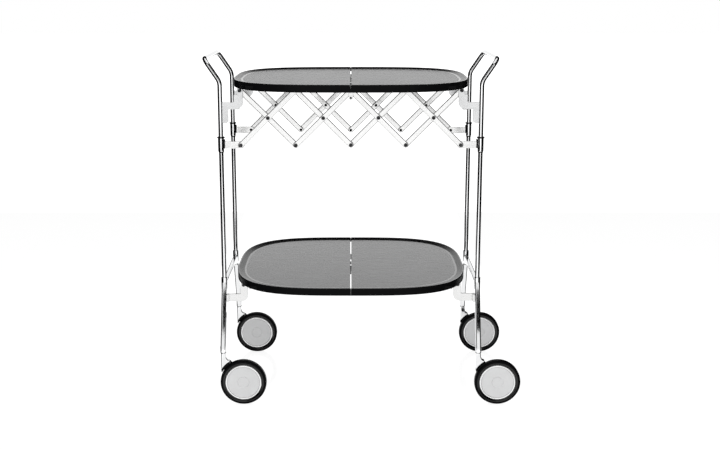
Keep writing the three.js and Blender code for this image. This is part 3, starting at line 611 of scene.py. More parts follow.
class TROLLEY_OT_leg_frames(Operator):
    """Casts the two arched leg frames, with their collars and feet"""

    bl_idname = "trolley.leg_frames"
    bl_label = "Leg frames"

    def outline(self, sizes):
        """The casting in Y and Z, drawn for both halves."""
        upright = -upright_place()[1]
        inner = LEG_HIGH.y - sizes.leg_width
        foot = LEG_LOW.z
        foot_top = foot + sizes.foot_height
        arch_foot = sizes.crossbar_top - sizes.crossbar_depth - sizes.arch_rise
        shoulder = Vector((upright + LEG_SHOULDER_OFFSET, sizes.crossbar_top - LEG_SHOULDER))
        arch_start = Vector((upright - ARCH_FOOT_INSET, arch_foot))
        half = [
            Vector((upright + sizes.collar_radius, sizes.crossbar_top)),
            Vector((LEG_HIGH.y, foot_top)),
            Vector((LEG_HIGH.y, foot)),
            Vector((inner, foot)),
            Vector((inner, foot_top)),
            shoulder,
            *curve_points(shoulder, Vector((upright, arch_foot)), arch_start, BEND_STEPS),
        ]
        mirror = [Vector((-point.x, point.y)) for point in reversed(half)]
        crown = Vector((0, arch_foot + 2 * sizes.arch_rise))
        arch = curve_points(arch_start, crown, mirror[0], 2 * BEND_STEPS)
        return half + arch[:-1] + mirror

    def execute(self, context):
        sizes = context.scene.end_frame_sizes
        x, y = upright_place()
        thick = sizes.leg_thickness / 2
        foot = sizes.leg_width / 2
        shells = [plate(self.outline(sizes), x - thick, x + thick, CAST_BEVEL, "X",
                        CAST_BEVEL_STEPS)]
        for end in (-1, 1):
            shells.append(bar(Vector((x, end * y, LEG_HIGH.z - sizes.collar_length)), UPRIGHT,
                              sizes.collar_radius, sizes.collar_length, COLLAR_ROUND, TUBE_SIDES))
            shells.append(peg(Vector((x, end * (LEG_HIGH.y - foot), LEG_LOW.z)), UPRIGHT, foot,
                              sizes.foot_height, COLLAR_ROUND, COLLAR_ROUND))
        for side_name, side in SIDES:
            fit(f"cast_legs_{side_name}", f"{side_name}_frame",
                [f"leg_frame_{side_name}"], [(shell, "polished_chrome") for shell in shells], side)
        return {"FINISHED"}


QUADRANT_STEPS = 40
LIP_STEPS = 4
SKIRT_EDGE = 0.0005
SLOPE_START_DROP = 0.0003
FILLET_WIDTH = 0.004
FILLET_HEIGHT = 0.0006
ROOT = 0.001
EYE_RADIUS = 0.0055
EYE_STEPS = 16
TONGUE_GAP = 0.0001
TONGUE_WIDTH = 0.002
TONGUE_SPAN = (0.0004, 0.006)
TONGUE_TOP = 0.0012
TONGUE_EDGE = 0.0001
REAR_TONGUE_DEPTH = 0.010
SEAM_WALL_INSET = 0.002
KNUCKLES = ((-1, -0.004, 0.006), (1, 0.0064, 0.0156), (-1, 0.016, 0.026))
KNUCKLE_RADIUS = 0.0024
KNUCKLE_EDGE = 0.0004
PIN_RADIUS = 0.0012
PIN_EDGE = 0.0003
BRIDGES = ((-1, -0.082, -0.051), (-1, -0.009, 0.010), (1, 0.030, 0.070))
BRIDGE_DEPTH = 0.0028
BRIDGE_DROP = 0.0009
BRIDGE_GAP = 0.0003
BRIDGE_EDGE = 0.0003
RIB_THICKNESS = 0.0016
RIB_HEIGHT = 0.005
RIB_EDGE = 0.0003
RIB_SHARES = (0.2, 0.4, 0.6, 0.8)
RIB_SPANS = ((-0.085, 0.085), (-0.165, -0.119), (0.119, 0.165))
RIB_ROWS = (-0.165, -0.119, -0.085, -0.028, 0.028, 0.085, 0.119, 0.165)
RIB_END_SHARE = 0.85
RIB_SEAM_GAP = 0.01
BLOCK_STEPS = 3
BLOCK_BEVEL_STEPS = 2

# Marks of a tray's finishes, and how level and how near to the floor their faces are. Level faces
# that face up take the grey of painted sheen.
FLOOR_MARK, TOP_MARK, LIP_MARK = 1, 2, 3
FLOOR_LEVEL_SHARE = 0.9
LIP_LEVEL_SHARE = 0.985
TOP_LEVEL_SHARE = 0.5
FLOOR_BAND = 0.0002
TOP_BAND = 0.0004


def tray_ring(sizes, inset, height):
    """The tray's outline drawn in by an inset, with twin points beside the seam."""
    ring = []
    for i in range(4 * QUADRANT_STEPS):
        turn = math.pi / 2 * (i + 0.5) / QUADRANT_STEPS
        c = math.cos(turn)
        s = math.sin(turn)
        ring.append(Vector((
            math.copysign(abs(c) ** (2 / sizes.length_power), c) * (TRAY_HALF_LENGTH - inset),
            math.copysign(abs(s) ** (2 / sizes.depth_power), s) * (TRAY_HALF_DEPTH - inset),
            height,
        )))
    return ring


def half_of(shell, cut):
    """The part of a shell at X below a cut, closed along it."""
    points, faces = shell
    work = bmesh.new()
    verts = [work.verts.new(point) for point in points]
    for face in faces:
        work.faces.new([verts[i] for i in face])
    geometry = work.verts[:] + work.edges[:] + work.faces[:]
    found = bmesh.ops.bisect_plane(work, geom=geometry, plane_co=(cut, 0, 0), plane_no=(1, 0, 0),
                                   clear_outer=True)
    edges = [item for item in found["geom_cut"] if isinstance(item, bmesh.types.BMEdge)]
    bmesh.ops.triangle_fill(work, edges=edges, use_beauty=True)
    work.verts.index_update()
    result = ([v.co.copy() for v in work.verts], [[v.index for v in f.verts] for f in work.faces])
    work.free()
    return result


def block(x, y, z, bevel):
    """A box with rounded edges, from the least and greatest X, Y and Z."""
    corners = ((x[0], z[0]), (x[1], z[0]), (x[1], z[1]), (x[0], z[1]))
    outline = rounded(corners, [bevel] * len(corners), BLOCK_STEPS)
    return plate(outline, *y, bevel / 2, bevel_steps=BLOCK_BEVEL_STEPS)


class TROLLEY_OT_trays(Operator):
    """Moulds the four half trays, with their hinge eyes, knuckles and ribs"""

    bl_idname = "trolley.trays"
    bl_label = "Trays"

    def deck(self, sizes, seam):
        """The shell of a half tray, about its rim's height."""
        lip = sizes.lip_radius
        low = -sizes.dish_depth
        under = low - sizes.floor_thickness
        skirt = -sizes.skirt_height
        levels = [(sizes.skirt_wall, under), (sizes.skirt_wall, skirt), (SKIRT_EDGE, skirt),
                  (0, skirt + SKIRT_EDGE)]
        for step in range(LIP_STEPS + 1):
            angle = math.pi / 2 * step / LIP_STEPS
            levels.append((lip * (1 - math.cos(angle)), lip * (math.sin(angle) - 1)))
        levels += [(sizes.lip_width, 0), (sizes.lip_width + lip, -SLOPE_START_DROP),
                   (sizes.slope_foot, low + FILLET_HEIGHT), (sizes.slope_foot + FILLET_WIDTH, low)]
        rings = [tray_ring(sizes, inset, height) for inset, height in levels]
        points, faces = skin([[Vector((0, 0, under))], *rings])
        faces.append(list(range(len(points) - len(rings[-1]), len(points))))
        return half_of((points, faces), -seam)

    def hinge_parts(self, sizes, side, seam):
        """The eyes, knuckles, bridges, seam wall and tongues of a half tray, and its ribs."""
        pivot = LINK_TOP - TRAY_HIGH.z
        under = -sizes.dish_depth - sizes.floor_thickness
        skirt = -sizes.skirt_height
        layer = first_layer(side) + 2
        eye = [*arc((-PIVOT_REACH, pivot), EYE_RADIUS, 180, 360, EYE_STEPS),
               Vector((-PIVOT_REACH + EYE_RADIUS, under + ROOT)),
               Vector((-PIVOT_REACH - EYE_RADIUS, under + ROOT))]
        parts = [plate(eye, -end * layer_outer(layer), -end * layer_inner(layer), SKIRT_EDGE)
                 for end in (-1, 1)]
        wall = (-seam - sizes.skirt_wall, -seam)
        for owner, start, finish in KNUCKLES:
            if owner == side:
                parts.append(bar(Vector((0, start, pivot)), ACROSS, KNUCKLE_RADIUS,
                                 finish - start, KNUCKLE_EDGE))
                parts.append(block(wall, (start, finish), (pivot - ROOT, skirt + ROOT),
                                   KNUCKLE_EDGE))
        for owner, start, finish in BRIDGES:
            if owner == side:
                parts.append(block((-seam - ROOT, seam - BRIDGE_GAP), (start, finish),
                                   (-sizes.dish_depth - BRIDGE_DEPTH,
                                    -sizes.dish_depth - BRIDGE_DROP), BRIDGE_EDGE))
        wall_end = TRAY_HALF_DEPTH - SEAM_WALL_INSET
        parts.append(block(wall, (-wall_end, wall_end), (skirt, under + ROOT), SKIRT_EDGE))
        for end, deep in ((-1, sizes.skirt_height), (1, REAR_TONGUE_DEPTH)):
            near, far = (end * (TRAY_HALF_DEPTH - inset) for inset in TONGUE_SPAN)
            parts.append(block((-seam - TONGUE_WIDTH, -TONGUE_GAP / 2), (near, far),
                               (-deep, -TONGUE_TOP), TONGUE_EDGE))
        return parts + self.ribs((under - RIB_HEIGHT, under + ROOT))

    def ribs(self, heights):
        """Stiffening ribs under the floor, clear of the gates' planes."""
        half = RIB_THICKNESS / 2
        ribs = []
        for share in RIB_SHARES:
            x = -TRAY_HALF_LENGTH * share
            ribs += [block((x - half, x + half), span, heights, RIB_EDGE) for span in RIB_SPANS]
        along = (-TRAY_HALF_LENGTH * RIB_END_SHARE, -RIB_SEAM_GAP)
        return ribs + [block(along, (y - half, y + half), heights, RIB_EDGE) for y in RIB_ROWS]

    def execute(self, context):
        sizes = context.scene.tray_sizes
        seam = sizes.seam_gap / 2
        deck = self.deck(sizes, seam)
        start = KNUCKLES[0][1] - PIN_RADIUS
        run = KNUCKLES[-1][2] + PIN_RADIUS - start
        for level, height in LEVELS:
            lift = Vector((0, 0, height))
            for side_name, side in SIDES:
                shells = [(moved(shell, lift), "tray_plastic")
                          for shell in (deck, *self.hinge_parts(sizes, side, seam))]
                piece = fit(f"{level}_half_{side_name}", f"{level}_tray_{side_name}",
                            [f"{level}_tray_{side_name}"], shells, side)
                self.finish_floor_with_painted_sheen(piece, height - sizes.dish_depth)
            seat = Vector((0, start, height + LINK_TOP - TRAY_HIGH.z))
            fit(f"{level}_hinge_pin", f"{level}_tray_left", [f"{level}_seam_pin"],
                [(bar(seat, ACROSS, PIN_RADIUS, run, PIN_EDGE), "rivet_steel")])
        return {"FINISHED"}

    def finish_floor_with_painted_sheen(self, piece, floor):
        """Gives the floor, the slope and the rim inside the skirt their own finishes. The level
        floor, the rim's top and the fillet take the grey of painted sheen.
        """
        for look in ("tray_floor", "tray_top", "tray_lip"):
            piece.data.materials.append(finish_of(look))
        for face in piece.data.polygons:
            above = face.center.z - floor
            level = face.normal.z
            if level > FLOOR_LEVEL_SHARE and abs(above) < FLOOR_BAND:
                face.material_index = FLOOR_MARK
            elif level > LIP_LEVEL_SHARE and above > 0 or 0 < above < FILLET_HEIGHT:
                face.material_index = LIP_MARK
            elif level > TOP_LEVEL_SHARE and above > -TOP_BAND:
                face.material_index = TOP_MARK


LINK_BEVEL = 0.0018
LINK_STEPS = 14
TAB_DROP = 0.0154
TAB_RADIUS = 0.0046
TAB_STEPS = 12
TAB_EDGE = 0.0005
STUD_RADIUS = 0.0024
STUD_CROWN = 0.0016


def link_plate(start, finish, near, far, width):
    """A straight link with round ends, between two points in X and Z."""
    turn = math.degrees(math.atan2(finish[1] - start[1], finish[0] - start[0]))
    outline = [*arc(finish, width / 2, turn - 90, turn + 90, LINK_STEPS),
               *arc(start, width / 2, turn + 90, turn + 270, LINK_STEPS)]
    return plate(outline, near, far, LINK_BEVEL)


class TROLLEY_OT_gates(Operator):
    """Presses the lattice links and stop tabs, and rivets them"""

    bl_idname = "trolley.gates"
    bl_label = "Lattice gates"

    def link_places(self, side):
        """The links of a half gate, in X: start, finish, layer, and rivets as shares along it."""
        column = [side * (PIVOT_REACH - cells * CELL_WIDTH) for cells in range(3)]
        top = [(x, LINK_TOP) for x in column]
        low = [(x, LINK_LOW) for x in column]
        front = first_layer(side)
        return [
            (top[0], low[1], front + 1, ()),
            (low[0], top[1], front, (0.5, 1)),
            (top[1], low[2], front + 1, ()),
            (low[1], top[2], front, (0, 0.5)),
        ]

    def link(self, gate, side, index, start, finish, layer, rivets):
        near = layer_outer(layer)
        far = layer_inner(layer)
        shells = [(link_plate(start, finish, near, far, gate.link_width), "white_lacquer")]
        for share in rivets:
            x, z = (low + (high - low) * share for low, high in zip(start, finish))
            shells += through_rivet(x, z, near, layer + 1)
        if index == 2 and side < 0:
            shells += outer_rivet(*finish, near)
        if index > 1 and side > 0:
            shells += inner_rivet(*finish, far)
        return shells

    def stop_tab(self, gate):
        near = layer_outer(0) - gate.layer_gap - gate.link_thickness / 2
        low = LINK_TOP - TAB_DROP
        outline = [*arc((0, LINK_TOP), TAB_RADIUS, 0, 180, TAB_STEPS),
                   *arc((0, low), TAB_RADIUS, 180, 360, TAB_STEPS)]
        tab = plate(outline, near, near + gate.link_thickness / 2, TAB_EDGE)
        return [(tab, "white_lacquer"), *outer_rivet(0, LINK_TOP, near),
                *stud(0, low, near, STUD_RADIUS, STUD_CROWN),
                *shank(0, LINK_TOP, near, layer_inner(0))]

    def execute(self, context):
        gate = context.scene.gate_sizes
        for place, side_name, side, end in CORNERS:
            for index, link in enumerate(self.link_places(side)):
                number = index + 1
                fit(f"link_{place}_{number}", f"gate_{side_name}_{number}",
                    [f"gate_link_{place}_{number}"], self.link(gate, side, index, *link), -1, end)
        for end_name, end in ENDS:
            fit(f"tab_{end_name}", "stop_tabs", [f"stop_tab_{end_name}"],
                self.stop_tab(gate), -1, end)
        return {"FINISHED"}


ARM_DROP = 0.025
ARM_HEIGHT = 0.015
FACE_SHARE = 0.92
FLANGE_WIDTH = 0.0125
FLANGE_DROP = 0.0445
COLUMN_OUTER = 0.013
COLUMN_INNER = 0.0064
SHOULDER_DROP = 0.0085
ELBOW_RADIUS = 0.015
EYE_REACH = 0.0057
UPPER_ROUNDS = (0.0004, 0.001, 0.006, 0.0015, ELBOW_RADIUS, EYE_REACH * 0.95, EYE_REACH * 0.95,
                0.002, 0.001, 0.003)
LOWER_ARM_DROP = 0.0205
LOWER_ARM_HEIGHT = 0.017
LOWER_COLUMN_OUTER = 0.0074
LOWER_COLUMN_INNER = 0.0096
LOWER_ROUNDS = (0.0008, 0.0008, ELBOW_RADIUS, 0.003, EYE_REACH * 0.9, EYE_REACH * 0.9, 0.001, 0.002)
FOOT_THICKNESS = 0.004
FOOT_OVERLAP = 0.012
SCREW_RADIUS = 0.0022
SCREW_CROWN = 0.0015
SCREW_RISE = 0.0028
PLATE_BEVEL = 0.0006


class TROLLEY_OT_brackets(Operator):
    """Presses the upper and lower brackets that carry the trays and the gates"""

    bl_idname = "trolley.brackets"
    bl_label = "Brackets"

    def riveted(self, side, height, places, rounds, look):
        """A bracket's plate, and the rivet on which a tray turns."""
        layer = first_layer(side)
        near = layer_outer(layer)
        shell = plate(rounded(places, rounds), near, layer_inner(layer), PLATE_BEVEL)
        return [(shell, look), *through_rivet(-PIVOT_REACH, height, near, layer + 2)]

    def upper(self, side):
        radius = bpy.context.scene.end_frame_sizes.tube_radius
        upright = upright_place()[0]
        face = upright + radius * FACE_SHARE
        flange = upright + radius + FLANGE_WIDTH
        arm_top = LINK_TOP - ARM_DROP
        arm_low = arm_top - ARM_HEIGHT
        flange_low = arm_top - FLANGE_DROP
        inner = -PIVOT_REACH + COLUMN_INNER
        outer = -PIVOT_REACH - COLUMN_OUTER
        eye = -PIVOT_REACH - EYE_REACH
        shoulder = LINK_TOP - SHOULDER_DROP
        top = LINK_TOP + EYE_REACH
        places = ((face, arm_top), (face, flange_low), (flange, flange_low), (flange, arm_low),
                  (inner, arm_low), (inner, top), (eye, top), (eye, shoulder), (outer, shoulder),
                  (outer, arm_top))
        return self.riveted(side, LINK_TOP, places, UPPER_ROUNDS, "grey_lacquer")

    def lower(self, side):
        x, y = upright_place()
        gap = bpy.context.scene.gate_sizes.layer_gap
        face = x + bpy.context.scene.end_frame_sizes.leg_thickness / 2 + gap
        arm_top = LOWER_PIVOT - LOWER_ARM_DROP
        arm_low = arm_top - LOWER_ARM_HEIGHT
        shoulder = LOWER_PIVOT - SHOULDER_DROP
        top = LOWER_PIVOT + EYE_REACH
        inner = -PIVOT_REACH + LOWER_COLUMN_INNER
        outer = -PIVOT_REACH - LOWER_COLUMN_OUTER
        places = ((face, arm_top), (face, arm_low), (inner, arm_low), (inner, shoulder),
                  (-PIVOT_REACH + EYE_REACH, top), (-PIVOT_REACH - EYE_REACH, top),
                  (outer, shoulder), (outer, arm_top))
        layer = first_layer(side)
        foot = block((face, face + FOOT_THICKNESS), (y - FOOT_OVERLAP, layer_inner(layer)),
                     (arm_low, arm_top), PLATE_BEVEL)
        screw = stud(face + FOOT_THICKNESS / 2, arm_low + SCREW_RISE, layer_outer(layer),
                     SCREW_RADIUS, SCREW_CROWN)
        return [*self.riveted(side, LOWER_PIVOT, places, LOWER_ROUNDS, "white_lacquer"),
                (foot, "white_lacquer"), *screw]

    def execute(self, context):
        for place, side_name, side, end in CORNERS:
            fit(f"top_bracket_{place}", f"{side_name}_frame",
                [f"upper_bracket_{place}"], self.upper(side), side, end)
            fit(f"leg_bracket_{place}", f"{side_name}_frame",
                [f"lower_bracket_{place}"], self.lower(side), side, end)
        return {"FINISHED"}


LUG_WIDTH = 0.009
LUG_SETBACK = 0.0026
LUG_EDGE = 0.0007
LUG_OVERLAP = 0.0006
ARM_TANG = 0.0036
ARM_STEPS = 16
RING_EDGE = 0.0006
BORE_CLEARANCE = 0.0003
BULGE_SHARES = (0.4, 0.75, 1)


class TROLLEY_OT_sliders(Operator):
    """Turns the sleeves that run on the uprights, with their rings, lugs and arms"""

    bl_idname = "trolley.sliders"
    bl_label = "Sliders"

    def round_upright(self, profile):
        """A shell bored for the upright, from pairs of radius and height."""
        x, y = upright_place()
        bore = bpy.context.scene.end_frame_sizes.tube_radius + BORE_CLEARANCE
        return turned([(bore, profile[0][1]), *profile, (bore, profile[-1][1])],
                      Vector((x, y, 0)), UPRIGHT, TUBE_SIDES, closed=True)

    def sleeve(self, sizes):
        """The chromed barrel of the sleeve, with its tapered foot."""
        body = sizes.sleeve_radius
        low = SLEEVE_LOW.z + sizes.rim_height
        rise = sizes.foot_height - sizes.rim_height
        neck = sizes.foot_radius + (body - sizes.foot_radius) * sizes.rim_height / sizes.foot_height
        bulge = [(neck + (body - neck) * math.sin(math.pi / 2 * share), low + rise * share)
                 for share in BULGE_SHARES]
        return self.round_upright([(neck, low), *bulge,
                                   (body, SLEEVE_HIGH.z - sizes.ring_height)])

    def rings(self, sizes):
        """The black ring on top and the black rim of the foot."""
        top = SLEEVE_HIGH.z
        low = SLEEVE_LOW.z
        under = top - sizes.ring_height
        ring = upright_place()[1] - SLEEVE_LOW.y
        foot = sizes.foot_radius
        crown = [(ring - RING_EDGE, under), (ring, under + RING_EDGE), (ring, top - RING_EDGE),
                 (ring - RING_EDGE, top)]
        base = [(foot - RING_EDGE / 2, low), (foot, low + RING_EDGE),
                (foot, low + sizes.rim_height)]
        return [self.round_upright(crown), self.round_upright(base)]

    def lug(self, sizes, side):
        """The black lug that holds the arm: two cheeks and a back."""
        layer = first_layer(side) + 1
        slot_near = layer_outer(layer) - BORE_CLEARANCE
        slot_far = layer_inner(layer) + BORE_CLEARANCE
        middle = (slot_near + slot_far) / 2
        near = middle - LUG_WIDTH / 2
        far = middle + LUG_WIDTH / 2
        reach = SLEEVE_HIGH.x - MIDDLE_X
        outer = reach - LUG_SETBACK
        inner = upright_place()[0] + sizes.sleeve_radius - LUG_OVERLAP
        back = reach - ARM_TANG - BORE_CLEARANCE
        rise = LINK_LOW + sizes.lug_rise
        heights = (rise - sizes.lug_height / 2, rise + sizes.lug_height / 2)
        cheek = (back - LUG_OVERLAP, outer)
        return [block(x, y, heights, LUG_EDGE)
                for x, y in (((inner, back), (near, far)), (cheek, (near, slot_near)),
                             (cheek, (slot_far, far)))]

    def arm(self, sizes, side):
        layer = first_layer(side) + 1
        radius = sizes.arm_height / 2
        start = SLEEVE_HIGH.x - MIDDLE_X - ARM_TANG
        outline = [*arc((-PIVOT_REACH, LINK_LOW), radius, -90, 90, ARM_STEPS),
                   Vector((start, LINK_LOW + radius)), Vector((start, LINK_LOW - radius))]
        near = layer_outer(layer)
        far = layer_inner(layer)
        front = layer_outer(layer - 1) - bpy.context.scene.gate_sizes.layer_gap
        height = bpy.context.scene.gate_sizes.rivet_height
        return [(plate(outline, near, far, PLATE_BEVEL), "white_lacquer"),
                *outer_rivet(-PIVOT_REACH, LINK_LOW, front),
                *shank(-PIVOT_REACH, LINK_LOW, front - height / 2, near + height),
                *inner_rivet(-PIVOT_REACH, LINK_LOW, far)]

    def execute(self, context):
        sizes = context.scene.slider_sizes
        for place, side_name, side, end in CORNERS:
            body = f"sliders_{side_name}"
            fit(f"sleeve_{place}", body, [f"slider_sleeve_{place}"],
                [(self.sleeve(sizes), "polished_chrome")], side, end)
            black = [(shell, "black_plastic")
                     for shell in self.rings(sizes) + self.lug(sizes, side)]
            fit(f"sleeve_rings_{place}", body, [], black, side, end)
            fit(f"arm_{place}", body, [f"slider_arm_{place}"],
                self.arm(sizes, side), side, end)
        return {"FINISHED"}


WHEEL_SIDES = 96
ARC_STEPS = 16
STEM_TOP_GAP = 0.0008
STEM_BEVEL = 0.0022
STEM_BEVEL_STEPS = 5
STEM_FLARE = 0.0085
STEM_TIP = 0.004
POST_DEPTH = 0.006
POST_TIP = 0.0005
POST_EDGE = 0.0004
SWIVEL_PIN_RADIUS = 0.0035
SWIVEL_PIN_SINK = 0.0008
SWIVEL_PIN_LENGTH = 0.0098
WASHER_RADIUS = 0.0064
WASHER_BORE = 0.0036
WASHER_GAP = 0.00005
HOOD_ANGLES = (123, 151)
HOOD_OVERHANG = 0.0012
FORK_BOSS = 0.010
FORK_BOSS_STEPS = 20
FORK_NECK_ANGLE = 60
FORK_NECK_STEPS = 4
FORK_BEVEL = 0.0009
AXLE_RADIUS = 0.004
AXLE_TIP_INSET = 0.005
AXLE_OUT = 0.0012
AXLE_TIP = 0.0006
RUNNING_GAP = 0.0003
HUB_DIP = 0.0016
HUB_SLOPE = 0.0017
DISC_SETBACK = 0.0008
GROOVE_EDGE = 0.0006
GROOVE_DEPTH = 0.002
HUB_BORE_GAP = 0.0004
LIP_RISE = 0.0009
LIP_SINK = 0.0007
ROUND_STEPS = 8
WALL_SINK = 0.0004

# The disc's section, as a radius to count from, a distance beyond it and a height: over its face,
# then over its back, and then over its face again.
DISC_FACE = (("axis", 0, -HUB_DIP), ("hub", -HUB_SLOPE, -HUB_DIP), ("hub", 0, -0.0002),
             ("groove", -0.0009, -0.0003), ("groove", -0.0004, -0.0016),
             ("groove", 0.0004, -0.0018), ("groove", GROOVE_EDGE, -GROOVE_DEPTH),
             ("edge", 0, -GROOVE_DEPTH))
DISC_BACK = (("edge", 0, 0.0016), ("edge", -0.004, 0.0012), ("edge", -0.006, 0.004),
             ("hub", 0.003, 0.004), ("hub", 0, 0.0008), ("bore", 0, 0.0008))
DISC_BORE = (("bore", 0, -0.0038), ("axis", 0, -0.0038))
# The cove's section, as shares of its width and depths below the tyre's side.
COVE = ((0, 0.0030), (1 / 6, 0.0026), (3 / 6, 0.0020), (4 / 6, 0.0016), (5 / 6, 0.0006),
        (1, WALL_SINK))


class TROLLEY_OT_casters(Operator):
    """Makes the casters: stems, forks with their hoods, discs and tyres"""

    bl_idname = "trolley.casters"
    bl_label = "Casters"

    def stem(self, sizes):
        """The stem under the leg, with its swivel pin: from X zero, over the wheel's arc."""
        half = sizes.stem_width / 2
        seat = WHEEL + sizes.hood_clearance + sizes.hood_thickness + RUNNING_GAP
        top = LEG_LOW.z - STEM_TOP_GAP
        flare = half + STEM_FLARE

        def rise(x):
            return math.sqrt(seat ** 2 - (WHEEL_TRAIL - x) ** 2)

        start, finish = (math.degrees(math.atan2(rise(x), x - WHEEL_TRAIL)) for x in (-half, flare))
        tip = WHEEL + rise(flare) + STEM_TIP
        outline = [Vector((-half, top)),
                   *arc((WHEEL_TRAIL, WHEEL), seat, start, finish, ARC_STEPS),
                   Vector((flare, tip)),
                   *curve_points(Vector((flare, tip)), Vector((half, tip)), Vector((half, top)),
                                 BEND_STEPS)]
        post = peg(Vector((0, 0, top)), -UPRIGHT, half, POST_DEPTH, POST_TIP, POST_EDGE)
        pin = bar(Vector((0, 0, top - SWIVEL_PIN_SINK)), UPRIGHT, SWIVEL_PIN_RADIUS,
                  SWIVEL_PIN_LENGTH, sides=TUBE_SIDES)
        return [plate(outline, -half, half, STEM_BEVEL, bevel_steps=STEM_BEVEL_STEPS), post, pin]

    def fork(self, sizes):
        """The hood over the wheel, the cheek behind it, the axle and the stem's washer."""
        inner = WHEEL + sizes.hood_clearance
        outer = inner + sizes.hood_thickness
        start, finish = HOOD_ANGLES
        centre = (WHEEL_TRAIL, WHEEL)
        turn = (start + finish) / 2
        hood = [*arc(centre, inner, start, finish, ARC_STEPS),
                *arc(centre, outer, finish, start, ARC_STEPS)]
        cheek = [*arc(centre, FORK_BOSS, turn + 90, turn + 270, FORK_BOSS_STEPS),
                 *arc(centre, FORK_BOSS, turn - 90, turn - FORK_NECK_ANGLE, FORK_NECK_STEPS),
                 *arc(centre, outer, start, finish, ARC_STEPS),
                 *arc(centre, FORK_BOSS, turn + FORK_NECK_ANGLE, turn + 90,
                      FORK_NECK_STEPS)[:-1]]
        near = HALF_TYRE + HOOD_OVERHANG
        far = near + sizes.fork_thickness
        axle_from = -HALF_TYRE + AXLE_TIP_INSET
        axle = peg(Vector((WHEEL_TRAIL, axle_from, WHEEL)), ACROSS, AXLE_RADIUS,
                   far - axle_from + AXLE_OUT, AXLE_TIP, sides=RIVET_SIDES)
        thick = STEM_TOP_GAP - 2 * WASHER_GAP
        washer = turned([(WASHER_BORE, 0), (WASHER_RADIUS, 0), (WASHER_RADIUS, thick),
                         (WASHER_BORE, thick)],
                        Vector((0, 0, LEG_LOW.z - STEM_TOP_GAP + WASHER_GAP)), UPRIGHT,
                        TUBE_SIDES, closed=True)
        return [plate(hood, -near, far, FORK_BEVEL), plate(cheek, near, far, FORK_BEVEL), axle,
                washer]

    def disc(self, sizes):
        """The disc's front: a groove, a flat and a dished hub; the back is hollow."""
        radii = {"axis": 0, "bore": AXLE_RADIUS + HUB_BORE_GAP, "hub": sizes.hub_radius,
                 "groove": sizes.groove_radius, "edge": WHEEL - sizes.tyre_depth - RUNNING_GAP}
        sections = ((DISC_FACE, 0), (DISC_BACK, 2 * HALF_TYRE), (DISC_BORE, 0))
        profile = [(radii[start] + out, up - depth)
                   for section, depth in sections for start, out, up in section]
        return [self.wheel_shell(profile, DISC_SETBACK - HALF_TYRE)]

    def lip(self, sizes):
        """The rounded lip round the disc's face, made bright by a painted highlight in its paler
        colour.
        """
        edge = WHEEL - sizes.tyre_depth - RUNNING_GAP
        inner = sizes.groove_radius + GROOVE_EDGE
        middle = (inner + edge) / 2
        half = (edge - inner) / 2
        turns = (math.pi * i / ROUND_STEPS for i in range(ROUND_STEPS + 1))
        crown = [(middle - half * math.cos(t), LIP_RISE * math.sin(t) - LIP_SINK) for t in turns]
        profile = [(inner, -GROOVE_DEPTH), *crown, (edge, -GROOVE_DEPTH)]
        return [self.wheel_shell(profile, DISC_SETBACK - HALF_TYRE, True)]

    def tyre(self, sizes):
        """The tread ring, with rounded shoulders."""
        tread = sizes.tread_round
        turns = (math.pi / 2 * i / ROUND_STEPS for i in range(ROUND_STEPS + 1))
        shoulder = [(WHEEL - tread + tread * math.sin(t), HALF_TYRE - tread + tread * math.cos(t))
                    for t in turns]
        return [self.both_sides([(WHEEL - sizes.wall_depth, HALF_TYRE - WALL_SINK), *shoulder])]

    def cove(self, sizes):
        """The glossy cove between the tread ring and the disc."""
        bead = WHEEL - sizes.tyre_depth
        width = sizes.tyre_depth - sizes.wall_depth
        return [self.both_sides([(bead + width * share, HALF_TYRE - sink) for share, sink in COVE])]

    def both_sides(self, front):
        """A ring on the wheel from the front half of its section."""
        return self.wheel_shell(front + [(out, -up) for out, up in reversed(front)], 0, True)

    def wheel_shell(self, profile, depth, closed=False):
        return turned(profile, Vector((WHEEL_TRAIL, depth, WHEEL)), -ACROSS, WHEEL_SIDES, closed)

    def execute(self, context):
        sizes = context.scene.caster_sizes
        kinds = (
            ("stem", "caster", "chrome", "caster_stem", self.stem(sizes), "polished_chrome"),
            ("fork", "caster", "fork_plastic", "caster_fork", self.fork(sizes), "black_plastic"),
            ("disc", "wheel", "wheel_plastic", "wheel_disc", self.disc(sizes), "wheel_plastic"),
            ("lip", "wheel", "wheel_plastic", None, self.lip(sizes), "lip_plastic"),
            ("tread", "wheel", "tyre_rubber", "tyre", self.tyre(sizes), "tyre_rubber"),
            ("cove", "wheel", "tyre_rubber", None, self.cove(sizes), "cove_rubber"),
        )
        for place, *_ in CORNERS:
            corner = Vector((*JOINT_PLACES[f"swivel_{place}"].xy, 0))
            for kind, body, slot, node, shells, look in kinds:
                fit(f"{kind}_{place}", f"{body}_{place}", [f"{node}_{place}"] if node else [],
                    [(moved(shell, corner), look) for shell in shells], mirrored=False)
        return {"FINISHED"}


SHIFT_X = 0.01274
SHIFT_Y = -0.1
SENSOR = 36
WHITE = (1, 1, 1, 1)
SHOWN_RAYS = ("Is Camera Ray", "Is Glossy Ray", "Is Transmission Ray")
FLOOR_REACH = 14.0
FLOOR_COLOUR = (0.84, 0.84, 0.84)
FLOOR_ROUGHNESS = 0.1
# What the floor has for the rays that light the trolley, and for those that show it.
FLOOR_LEVELS = (("Base Color", 0.95, 0.30), ("Emission Strength", 0, 0.84))
CARD_COLOUR = (0.01, 0.01, 0.01)
